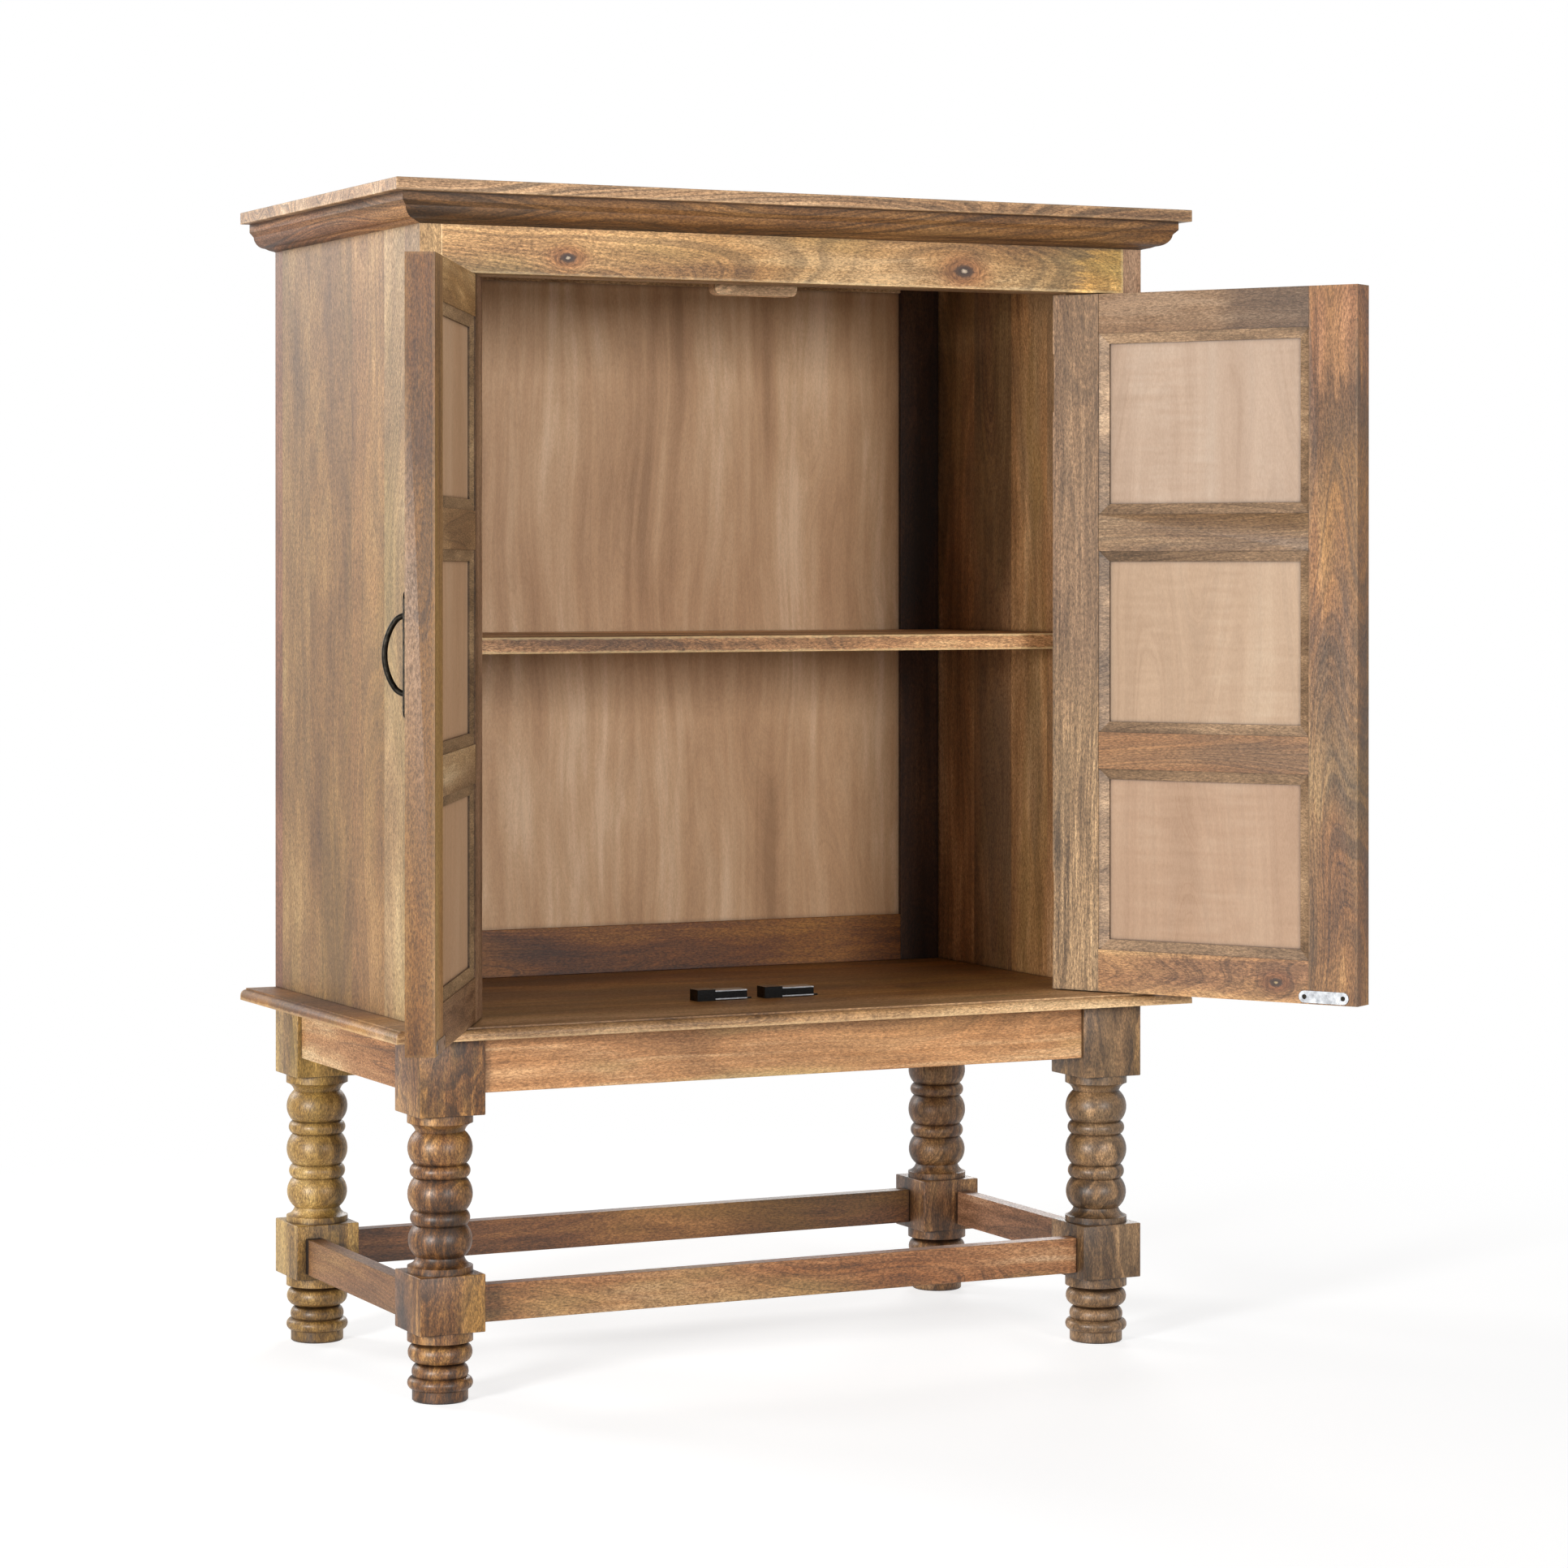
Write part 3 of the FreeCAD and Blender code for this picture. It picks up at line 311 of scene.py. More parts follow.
def woodFinish(name, look, limits=None):
    look = {**plainWood, **look}
    rules = figureRules
    mat = bpy.data.materials.new(name)
    mat.use_nodes = True
    tree = mat.node_tree
    shader = tree.nodes["Principled BSDF"]
    texturePlace = addNode(tree, "ShaderNodeTexCoord").outputs["Object"]
    turned = addNode(tree, "ShaderNodeMapping", {
        "Vector": texturePlace, "Location": look["origin"],
        "Rotation": (0.0, 0.0, math.radians(look["turn"]))}, vector_type="TEXTURE").outputs[0]
    split = addNode(tree, "ShaderNodeSeparateXYZ", {0: turned})
    along, across, deep = (split.outputs[letter] for letter in look["grain"])
    boardTint = None
    shift = None
    if look["boards"]:
        boardTint, shift = boardSteps(tree, look["boards"], (along, across, deep))
    across, knotMask, haloMask, knotEye = knotField(tree, look["knots"], along, across)
    axes = (along, across, deep)

    # the wood's own space: moved by the seed and the board, then bent
    flat = addNode(tree, "ShaderNodeCombineXYZ", dict(enumerate(axes))).outputs[0]
    flat = arrows(tree, "ADD", flat, tuple(look["seed"] * step for step in rules["seedSteps"]))
    if shift:
        flat = arrows(tree, "ADD", flat, shift)
    bend = arrows(tree, "SUBTRACT", grainNoise(tree, flat, "bend", colour=True), (0.5, 0.5, 0.5))
    bend = arrows(tree, "MULTIPLY", bend, (0.0, look["warp"] * 2, look["warp"] * 2))
    grain = arrows(tree, "ADD", flat, bend)

    long, wide = look["patches"]
    patch = cloud(tree, arrows(tree, "MULTIPLY", grain, (long, wide, wide)), 4.0, 0.58)
    long, wide = look["streaks"]
    streak = cloud(tree, arrows(tree, "MULTIPLY", grain, (long, wide, wide)), 3.0, 0.6)
    speckle = grainNoise(tree, grain, "speckle")
    pores = grainNoise(tree, grain, "pores")
    rings = lines(tree, ringField(tree, look, flat, grain, axes))

    patchShare, streakShare, speckleShare = look["mix"]
    figure = sums(tree, "MULTIPLY", speckle, speckleShare)
    figure = sums(tree, "MULTIPLY_ADD", streak, streakShare, figure)
    figure = sums(tree, "MULTIPLY_ADD", patch, patchShare, figure)
    if look["ripple"]:
        curl = sums(tree, "SUBTRACT", grainNoise(tree, flat, "curl"), 0.5)
        low, high = rules["curlPlaces"]
        curly = between(tree, grainNoise(tree, flat, "curlPlaces"), low, high, 0.0, look["ripple"])
        figure = sums(tree, "MULTIPLY_ADD", curl, curly, figure)
    low, high = look["spread"]
    tones = woodTones[look["tones"]]
    colour = ramp(tree, figure, [(low + (high - low) * i / 4, tone) for i, tone in enumerate(tones)])
    for order, (tint, strength, start, full) in enumerate(look["tints"]):
        place = arrows(tree, "MULTIPLY", grain, rules["tintScale"])
        place = arrows(tree, "ADD", place, (order * 7.3 + 2.1, order * 3.9, 5.5))
        mask = between(tree, cloud(tree, place, 3.0, 0.55), start, full, 0.0, strength, smooth=True)
        colour = blendIn(tree, "MIX", mask, colour, screenColour(tint))

    depth = look["rings"][1]
    low, high = rules["ringPlaces"]
    shade = ramp(tree, rings, [(low, 1.0 - depth), (high, 1.0 + depth * rules["ringLift"])])
    colour = blendIn(tree, "MULTIPLY", 1.0, colour, shade)
    veinTone, strength, width = look["veins"]
    thin = between(tree, sums(tree, "ABSOLUTE", sums(tree, "SUBTRACT", rings, 0.5)), width, 0.0)
    low, high = rules["veinPlaces"]
    thin = sums(tree, "MULTIPLY", thin, between(tree, patch, low, high, 0.0, strength))
    colour = blendIn(tree, "MIX", thin, colour, screenColour(veinTone))
    depth = look["speckle"]
    shade = ramp(tree, speckle, [
        (rules["speckleLow"], 1.0 - depth), (0.5, 1.0), (rules["speckleHigh"], 1.0 + depth)])
    colour = blendIn(tree, "MULTIPLY", 1.0, colour, shade)
    low, high = rules["porePlaces"]
    poreMask = between(tree, pores, low, high, 0.0, look["pores"])
    colour = blendIn(tree, "MULTIPLY", poreMask, colour, rules["poreTone"])

    if boardTint:
        colour = blendIn(tree, "MULTIPLY", 1.0, colour, boardTint)
    if look["zones"]:
        axis, low, high, stops = look["zones"]
        ragged = sums(tree, "MULTIPLY_ADD", sums(tree, "SUBTRACT", streak, 0.5), 0.5,
                      sums(tree, "SUBTRACT", patch, 0.5))
        wander = sums(tree, "MULTIPLY_ADD", ragged, (high - low) * rules["zoneWander"], axes[axis])
        tint = ramp(tree, between(tree, wander, low, high), stops)
        colour = blendIn(tree, "MULTIPLY", 1.0, colour, tint)
    if knotMask:
        halo = sums(tree, "MULTIPLY", haloMask, knotShape["haloStrength"])
        colour = blendIn(tree, "MULTIPLY", halo, colour, screenColour(knotShape["haloTone"]))
        uneven = sums(tree, "MULTIPLY_ADD", sums(tree, "SUBTRACT", speckle, 0.5), 0.5, knotEye)
        colour = blendIn(tree, "MIX", knotMask, colour, ramp(tree, uneven, knotShape["tones"]))
    for axis, where, tint in look["faces"]:
        low, high = rules["facePlaces"]
        offFace = sums(tree, "ABSOLUTE", sums(tree, "SUBTRACT", split.outputs[axis], where))
        onFace = between(tree, offFace, low, high)
        colour = blendIn(tree, "MULTIPLY", onFace, colour, screenColour(tint))
    # pale colour screened over the arrises: a painted highlight, with some wear
    if look["sheenAndWear"] and limits:
        sheenAndWearMask = sums(tree, "MULTIPLY", arrisMask(tree, turned, limits, rules["sheenAndWearWidth"]), look["sheenAndWear"])
        colour = blendIn(tree, "SCREEN", sheenAndWearMask, colour, screenColour(rules["sheenAndWearTone"]))
    # an occlusion node darkens corners, creases and joints: painted shade, with some dirt
    if look["shadeAndDirt"]:
        reach = {"Distance": rules["shadeAndDirtReach"]}
        corner = addNode(tree, "ShaderNodeAmbientOcclusion", reach, samples=6).outputs["AO"]
        low, high = rules["shadeAndDirtPlaces"]
        shadeAndDirtMask = between(tree, corner, low, high, 0.0, look["shadeAndDirt"])
        colour = blendIn(tree, "MULTIPLY", shadeAndDirtMask, colour, screenColour(rules["shadeAndDirtTone"]))
    colour = blendIn(tree, "MULTIPLY", 1.0, colour, tuple(look["gain"]) + (1.0,))
    tree.links.new(colour, shader.inputs["Base Color"])

    rough, smooth = (look["gloss"] + step for step in rules["roughSpread"])
    low, high = rules["roughPlaces"]
    tree.links.new(between(tree, speckle, low, high, rough, smooth), shader.inputs["Roughness"])
    height = sums(tree, "MULTIPLY_ADD", speckle, 0.6, sums(tree, "MULTIPLY", streak, 0.5))
    height = sums(tree, "MULTIPLY_ADD", poreMask, -1.2, height)
    bump = addNode(tree, "ShaderNodeBump", {
        "Height": height, "Strength": look["bump"], "Distance": rules["relief"]})
    tree.links.new(bump.outputs[0], shader.inputs["Normal"])
    return mat


def dress(name, mat):
    piece = nodes[name]
    piece.data.materials.clear()
    piece.data.materials.append(mat)


def softenArris(name, width):
    # a real arris is never a knife edge; the node's own mesh stays as it is
    piece = nodes[name]
    weld = piece.modifiers.new("meet", "WELD")
    weld.merge_threshold = 0.00002
    bevel = piece.modifiers.new("soft arris", "BEVEL")
    bevel.width = width
    bevel.segments = 2
    bevel.limit_method = "ANGLE"
    bevel.angle_limit = math.radians(38)
    bevel.harden_normals = True


# stains laid over a board: colour, strength, where it starts and where it is full
orangeTint = ("bf8451", 0.50, 0.52, 0.66)
oliveTint = ("8f7a4e", 0.60, 0.49, 0.62)
yellowTint = ("c2a468", 0.50, 0.51, 0.66)
pinkTint = ("c99a84", 0.60, 0.50, 0.66)
greyTint = ("85745f", 0.65, 0.49, 0.62)
darkTint = ("5b3f28", 0.55, 0.54, 0.70)

pieceLooks = {
    # stand
    "apron_front": {
        "tones": "copper", "gain": (0.92, 1.10, 1.18), "spread": (0.34, 0.68), "grain": "XZY",
        "seed": 1.6, "tints": (orangeTint, yellowTint), "speckle": 0.34, "streaks": (2.0, 110.0),
        "mix": (0.5, 0.36, 0.14), "veins": ("6a4526", 0.35, 0.02),
    },
    "apron_left": {
        "tones": "copper", "gain": (0.74, 0.83, 0.79), "grain": "YZX", "seed": 2.3,
        "tints": (yellowTint,),
    },
    "apron_right": {
        "tones": "copper", "gain": (0.76, 0.86, 0.92), "grain": "YZX", "seed": 3.1,
        "tints": (yellowTint,),
    },
    "apron_back": {"tones": "honey", "grain": "XZY", "seed": 4.7},
    "stretcher_front": {
        "tones": "copper", "gain": (0.57, 0.58, 0.57), "grain": "XZY", "seed": 5.2,
        "tints": (yellowTint, darkTint), "speckle": 0.45,
    },
    "stretcher_back": {
        "tones": "brown", "gain": (0.615, 0.435, 0.24), "grain": "XZY", "seed": 6.4,
        "tints": (oliveTint,),
    },
    "stretcher_left": {
        "tones": "russet", "gain": (0.46, 0.395, 0.21), "grain": "YZX", "seed": 7.7,
        "tints": (pinkTint, greyTint),
        # the near-black band at the back end is painted shade of the open mortise gap at the back-left
        # leg's block
        "zones": (0, 0.325, 0.349, ((0.0, "ffffff"), (0.44, "ffffff"), (0.58, "35221a"),
                                    (1.0, "1a100a"))),
    },
    "stretcher_right": {"tones": "russet", "gain": (0.85, 0.88, 0.9), "grain": "YZX", "seed": 8.9},
    "waist_board": {
        "tones": "sand", "gain": (0.98, 0.90, 0.76), "grain": "XYZ", "seed": 9.3,
        "tints": (oliveTint, darkTint), "sheenAndWear": 0.45, "streaks": (1.0, 55.0),
        # darker behind the doors' line: painted shade on the cabinet's inner floor
        "zones": (1, -0.155, 0.437, ((0.0, "ffffff"), (0.10, "ffffff"), (0.24, "cab17e"),
                                     (1.0, "bc9e5a"))),
    },
    # case
    "side_left": {
        "tones": "sand", "gain": (1.0, 0.96, 0.70), "grain": "ZYX", "seed": 10.6,
        "tints": (("a48c5a", 0.40, 0.50, 0.66), ("8a7650", 0.30, 0.52, 0.66)),
        "mix": (0.74, 0.12, 0.14), "spread": (0.34, 0.68), "rings": (44.0, 0.20),
        "patches": (4.2, 10.0), "speckle": 0.46, "veins": ("5c4326", 0.30, 0.02),
        "boards": (1, -0.1056, 0.4371, ((-0.1056, "ecebf2"), (-0.1043, "b5adb2"), (-0.0545, "e2e4f2"),
                                        (0.019, "c9baac"), (0.1375, "b3a593"), (0.2955, "c0b7ac"),
                                        (0.4056, "b198a7"))),
    },
    "side_right": {
        "tones": "sand", "gain": (0.86, 0.89, 0.94), "grain": "ZYX", "seed": 11.9,
        "tints": (greyTint, oliveTint, darkTint), "faces": ((1, -0.10493, "c4bcb8"),),
        "boards": (1, -0.105, 0.4371, ((-0.105, "ffeee2"), (-0.02, "e8d0b4"), (0.10, "ffe6c4"),
                                       (0.20, "dcc8b4"), (0.31, "f4dcc0"))),
    },
    "jamb_left": {"tones": "sand", "grain": "ZXY", "seed": 12.2},
    "jamb_right": {"tones": "sand", "grain": "ZXY", "seed": 13.8},
    "head_rail": {"tones": "sand", "grain": "XZY", "seed": 15.9},
    "soffit_board": {"tones": "sand", "grain": "XYZ", "seed": 15.3},
    "cornice_rail": {
        "tones": "honey", "gain": (1.20, 1.27, 1.29), "grain": "XZY", "seed": 14.4, "sheenAndWear": 0.3,
        "speckle": 0.42, "tints": (oliveTint, yellowTint), "rings": (60.0, 0.30),
        "knots": ((-0.3283, 1.4353, 0.0095), (0.2400, 1.4355, 0.0125)),
        "zones": (0, -0.50, 0.483, ((0.0, "fff6ee"), (0.24, "fff4ea"), (0.40, "dac8b0"),
                                    (0.56, "c2b39d"), (0.76, "c8b9a9"), (0.93, "b8b3a6"),
                                    (0.955, "ffefbc"), (1.0, "fff8d4"))),
    },
    "cornice_board": {
        "tones": "sand", "gain": (0.80, 0.73, 0.66), "grain": "XYZ", "seed": 17.7, "sheenAndWear": 0.2,
        "rings": (70.0, 0.5), "speckle": 0.42,
    },
    "crown_front": {
        "tones": "olive", "gain": (0.49, 0.335, 0.20), "gloss": 0.62, "grain": "XZY", "seed": 18.2,
        "tints": (greyTint, darkTint), "rings": (80.0, 0.45), "shadeAndDirt": 0.8,
    },
    "crown_left": {
        "tones": "brown", "gain": (0.83, 0.63, 0.42), "gloss": 0.62, "grain": "YZX", "seed": 19.6,
        "tints": (greyTint,), "rings": (80.0, 0.45), "shadeAndDirt": 0.8,
    },
    "crown_right": {
        "tones": "brown", "gain": (0.82, 0.66, 0.50), "gloss": 0.62, "grain": "YZX", "seed": 20.3,
        "rings": (80.0, 0.4), "shadeAndDirt": 0.8,
    },
    "back_panel": {
        "tones": "veneer", "gain": (1.0, 0.93, 0.84), "grain": "ZXY", "seed": 21.5,
        "mix": (0.54, 0.38, 0.08), "warp": 0.03, "streaks": (0.7, 30.0), "patches": (1.6, 9.0),
        "speckle": 0.05, "pores": 0.12, "rings": (46.0, 0.04), "veins": ("8a6642", 0.15, 0.02),
        "bump": 0.12,
    },
    "back_stile_left": {"tones": "brown", "gain": (0.7, 0.7, 0.7), "grain": "ZXY", "seed": 22.4},
    # the right stile's low gain is painted shade of the cabinet's right rear corner
    "back_stile_right": {"tones": "brown", "gain": (0.25, 0.18, 0.125), "grain": "ZXY", "seed": 23.6},
    "back_rail_bottom": {
        "tones": "russet", "gain": (0.54, 0.37, 0.085), "grain": "XZY", "seed": 24.8,
        "tints": (pinkTint, darkTint),
    },
    "back_rail_top": {"tones": "honey", "grain": "XZY", "seed": 25.2},
    "shelf": {"tones": "russet", "gain": (1.46, 1.6, 1.36), "grain": "XYZ", "seed": 26.9, "sheenAndWear": 0.4},
    "door_stop_block": {
        "tones": "cream", "gain": (1.9, 1.9, 1.85), "spread": (0.3, 0.7), "grain": "XZY", "seed": 27.1,
        "gloss": 0.75, "bump": 0.8, "speckle": 0.3,
    },
}

# metres of rounding on each piece's edges
arrisWidths = {name: 0.0009 for name in pieceLooks}
arrisWidths.update({
    "waist_board": 0.0006, "crown_front": 0.0005, "crown_left": 0.0005, "crown_right": 0.0005,
    "jamb_left": 0.0004, "jamb_right": 0.0004,
})
doorArris = 0.0008
sharpParts = ("panels", "beading")
doorSeeds = {"first": 30.3, "door": 11.7, "part": 1.37}
panelWood = {
    "mix": (0.74, 0.18, 0.08), "spread": (0.26, 0.74), "patches": (1.1, 6.0), "streaks": (0.8, 30.0),
    "speckle": 0.05, "pores": 0.06, "rings": (24.0, 0.06), "veins": ("a07a5a", 0.2, 0.02), "bump": 0.12,
    "shadeAndDirt": 0.8,
}
beadWood = {
    "tones": "grey", "gain": (0.88, 0.74, 0.58), "spread": (0.34, 0.66), "grain": "XZY", "shadeAndDirt": 1.0,
    "streaks": (20.0, 120.0), "speckle": 0.34,
}
lowEnd, highEnd = 0.476, 1.411  # heights where the doors begin and end

doorLooks = {
    "left": {
        "hinge_stile": {"tones": "brown", "grain": "ZXY", "speckle": 0.36},
        "lock_stile": {
            "tones": "sand", "gain": (0.68, 0.60, 0.42), "grain": "ZXY", "sheenAndWear": 0.12,
            "tints": (orangeTint, yellowTint), "speckle": 0.42, "faces": ((0, 0.4454, "ab967c"),),
        },
        "rail_top": {"tones": "honey", "gain": (0.8, 0.78, 0.7), "grain": "XZY", "tints": (darkTint,)},
        "rails_middle": {"tones": "sand", "gain": (0.8, 0.78, 0.7), "grain": "XZY"},
        "rail_bottom": {
            "tones": "brown", "gain": (0.8, 0.76, 0.66), "grain": "XZY", "tints": (darkTint,),
        },
        "panels": {"tones": "shell", "gain": (0.82, 0.72, 0.60), "grain": "ZXY", **panelWood},
        "beading": {**beadWood, "gain": (0.80, 0.68, 0.5)},
    },
    "right": {
        "hinge_stile": {
            "seed": 61.3, "tones": "grey", "gain": (1.08, 0.96, 0.79), "grain": "ZXY", "speckle": 0.46,
            "rings": (90.0, 0.24), "spread": (0.38, 0.60), "tints": (greyTint, yellowTint),
            "streaks": (5.0, 170.0), "mix": (0.36, 0.52, 0.12), "warp": 0.008,
            "zones": (0, lowEnd, highEnd, ((0.0, "fffaea"), (0.36, "fff6e4"), (0.50, "dccfc6"),
                                           (1.0, "e4d6ca"))),
        },
        "lock_stile": {
            "tones": "sand", "gain": (0.65, 0.625, 0.505), "grain": "ZXY", "sheenAndWear": 0.1,
            "tints": (greyTint, yellowTint, darkTint), "rings": (70.0, 0.36), "speckle": 0.46,
            "patches": (5.0, 18.0), "faces": ((0, -0.4454, "fff4d8"),),
            "zones": (0, lowEnd, highEnd, ((0.0, "dbc2a4"), (0.2, "e6c6a4"), (0.34, "d2c2ab"),
                                           (0.52, "d6baa2"), (0.62, "ecc8a0"), (0.72, "e6c8a6"),
                                           (0.80, "a68e7c"), (0.86, "b09484"), (0.90, "ffdfdc"),
                                           (1.0, "ffdfdc"))),
        },
        "rail_top": {
            "tones": "honey", "gain": (0.375, 0.365, 0.415), "grain": "XZY",
            "zones": (0, -0.38, -0.07, ((0.0, "b9b0a4"), (0.38, "c2b4a0"), (0.48, "fff4e0"),
                                        (1.0, "fff0da"))),
        },
        "rails_middle": {
            "tones": "sand", "gain": (0.59, 0.58, 0.56), "grain": "XZY", "tints": (greyTint,),
            "rings": (80.0, 0.3), "boards": (1, 0.4, 1.4, ((0.4, "fbdcb8"), (0.93, "e4dcd2"))),
        },
        "rail_bottom": {
            "tones": "rose", "gain": (0.92, 0.86, 0.56), "grain": "XZY",
            "tints": (orangeTint, yellowTint), "speckle": 0.42, "knots": ((-0.3304, 0.5024, 0.0085),),
        },
        "panels": {
            "tones": "shell", "gain": (0.68, 0.71, 0.73), "grain": "ZXY", **panelWood, "ripple": 0.20,
            "boards": (0, 0.4, 1.4, ((0.4, "f6e4d3"), (0.80, "fff4e5"), (1.09, "fcf5f0"))),
        },
        "beading": beadWood,
    },
}

for name, look in pieceLooks.items():
    dress(name, woodFinish(name + "_wood", look, pieceBox(name, (0.0, 0.0, 0.0), 0.0)))
    softenArris(name, arrisWidths[name])
for number, (side, looks) in enumerate(doorLooks.items()):
    hinge = hingeAt[side + "_door"]
    turn = doorTurn[side + "_door"]
    origin = (hinge.x, hinge.y, 0.0)
    for order, (part, look) in enumerate(looks.items()):
        name = f"{side}_door_{part}"
        seed = doorSeeds["first"] + number * doorSeeds["door"] + order * doorSeeds["part"]
        own = {"seed": seed, **look, "origin": origin, "turn": turn}
        dress(name, woodFinish(name + "_wood", own, pieceBox(name, origin, turn)))
        if part not in sharpParts:
            softenArris(name, doorArris)
print("boards and doors finished")


def metalFinish(name, look):
    mat = bpy.data.materials.new(name)
    mat.use_nodes = True
    tree = mat.node_tree
    shader = tree.nodes["Principled BSDF"]
    texturePlace = addNode(tree, "ShaderNodeTexCoord").outputs["Object"]
    scale, fine = look["scale"], look["scale"] * 9
    spots = cloud(tree, arrows(tree, "MULTIPLY", texturePlace, (scale, scale, scale)), 3.0, 0.6)
    grit = cloud(tree, arrows(tree, "MULTIPLY", texturePlace, (fine, fine, fine)), 2.0, 0.6)
    colour = ramp(tree, spots, [(0.38, look["tone"]), (0.68, look["sheenAndWearMask"])])
    tree.links.new(colour, shader.inputs["Base Color"])
    rough = between(tree, grit, 0.3, 0.7, look["rough"] - 0.08, look["rough"] + 0.10)
    tree.links.new(rough, shader.inputs["Roughness"])
    shader.inputs["Metallic"].default_value = look["metallic"]
    shader.inputs["Specular IOR Level"].default_value = 0.2
    height = sums(tree, "MULTIPLY_ADD", grit, 0.3, spots)
    bump = addNode(tree, "ShaderNodeBump", {
        "Height": height, "Strength": look["bump"], "Distance": 0.0008})
    tree.links.new(bump.outputs[0], shader.inputs["Normal"])
    return mat


hardware = {
    "blackIron": {
        "tone": "15130f", "sheenAndWearMask": "2e2a24", "rough": 0.45, "metallic": 0.85, "scale": 160.0,
        "bump": 0.45,
    },
    "zinc": {
        "tone": "85878a", "sheenAndWearMask": "b4b6b8", "rough": 0.34, "metallic": 1.0, "scale": 90.0, "bump": 0.10,
    },
    "agedSteel": {
        "tone": "6a6055", "sheenAndWearMask": "8f8678", "rough": 0.40, "metallic": 1.0, "scale": 110.0,
        "bump": 0.12,
    },
    "blackPlastic": {
        "tone": "030303", "sheenAndWearMask": "0a0909", "rough": 0.22, "metallic": 0.0, "scale": 260.0,
        "bump": 0.15,
    },
}
finishes = {name: metalFinish(name, look) for name, look in hardware.items()}
for side in doorLooks:
    dress(side + "_handle", finishes["blackIron"])
    dress(side + "_strike_plate", finishes["zinc"])
    dress(side + "_door_hinge_leaves", finishes["agedSteel"])
    dress(side + "_door_screws", finishes["blackIron"])
for name in ("hinge_leaves_frame", "hinge_pins", "frame_screws"):
    dress(name, finishes["agedSteel"])
dress("catch_housings", finishes["blackPlastic"])
dress("catch_pole_plates", finishes["zinc"])
print("hardware finished")


# the blocks' ends in metres above the floor
legTurning = {
    "lowerBlock": (0.0886, 0.1612),
    "upperBlock": (0.3600, 0.4596),
    "bury": (0.002, 0.001),     # how far the turnings run into the blocks
    "arcPoints": 10,
    "turnSteps": 96,
    "arris": 0.0014,
    # share of half the leg's width, share of the turned height, bulge way and bulge share
    "upper": (
        (0.941, 0.000, 0, 0), (0.941, 0.049, -1, 0.050), (0.690, 0.104, 1, 0.200),
        (0.750, 0.300, 1, 0.111), (0.750, 0.391, 1, 0.184), (0.750, 0.593, 1, 0.120),
        (0.750, 0.679, 1, 0.205), (0.705, 0.881, -1, 0.045), (0.945, 0.935, 0, 0),
        (0.945, 1.000, 0, 0)),
    "foot": (
        (0.770, 0.000, 0, 0), (0.802, 0.017, 0, 0), (0.802, 0.161, 1, 0.150),
        (0.780, 0.339, 1, 0.095), (0.640, 0.530, 1, 0.230), (0.750, 0.808, 0, 0),
        (0.943, 0.840, 0, 0), (0.943, 1.000, 0, 0)),
}
legWood = {
    "grain": "ZXY", "gloss": 0.42, "rings": (110.0, 0.46), "warp": 0.03, "patches": (6.0, 16.0),
    "speckle": 0.46, "bump": 0.22, "shadeAndDirt": 0.85,
}
legLooks = {
    "leg_front_left": {
        "tones": "brown", "spread": (0.42, 0.60), "gain": (0.665, 0.52, 0.285), "seed": 51.2,
        "pith": (-0.10, 0.03, 0.22, 150.0), "tints": (yellowTint, darkTint),
    },
    "leg_front_right": {
        "tones": "grey", "gain": (0.685, 0.53, 0.355), "seed": 53.9, "pith": (0.07, 0.05, -0.16, 130.0),
        "tints": (yellowTint, greyTint),
    },
    "leg_back_left": {
        "tones": "olive", "rings": (110.0, 0.24), "gain": (0.90, 0.82, 0.56), "seed": 56.1,
        "pith": (0.06, 0.08, 0.10, 110.0), "tints": (yellowTint,),
    },
    "leg_back_right": {
        "tones": "brown", "gain": (0.76, 0.64, 0.44), "seed": 58.4, "pith": (0.05, -0.03, 0.20, 130.0),
        "tints": (darkTint,),
    },
}
smoothAngle = math.radians(32)


def turningPoints(shares, radius, low, high):
    # the outline of a turning, its arcs drawn out into short steps
    points = []
    marks = [(r * radius, low + h * (high - low), way, b * radius) for r, h, way, b in shares]
    for here, there in zip(marks, marks[1:]):
        start = Vector(here[:2])
        end = Vector(there[:2])
        points.append(start)
        if here[2] == 0:
            continue
        chord = end - start
        bulge = here[3]
        arcRadius = (chord.length_squared / 4 + bulge * bulge) / (2 * bulge)
        right = Vector((chord.y, -chord.x)).normalized() * here[2]
        centre = (start + end) / 2 - right * (arcRadius - bulge)
        first = math.atan2(start.y - centre.y, start.x - centre.x)
        last = math.atan2(end.y - centre.y, end.x - centre.x)
        sweep = (last - first + math.pi) % (2 * math.pi) - math.pi
        for step in range(1, legTurning["arcPoints"]):
            angle = first + sweep * step / legTurning["arcPoints"]
            points.append(centre + Vector((math.cos(angle), math.sin(angle))) * arcRadius)
    points.append(Vector(marks[-1][:2]))
    return points


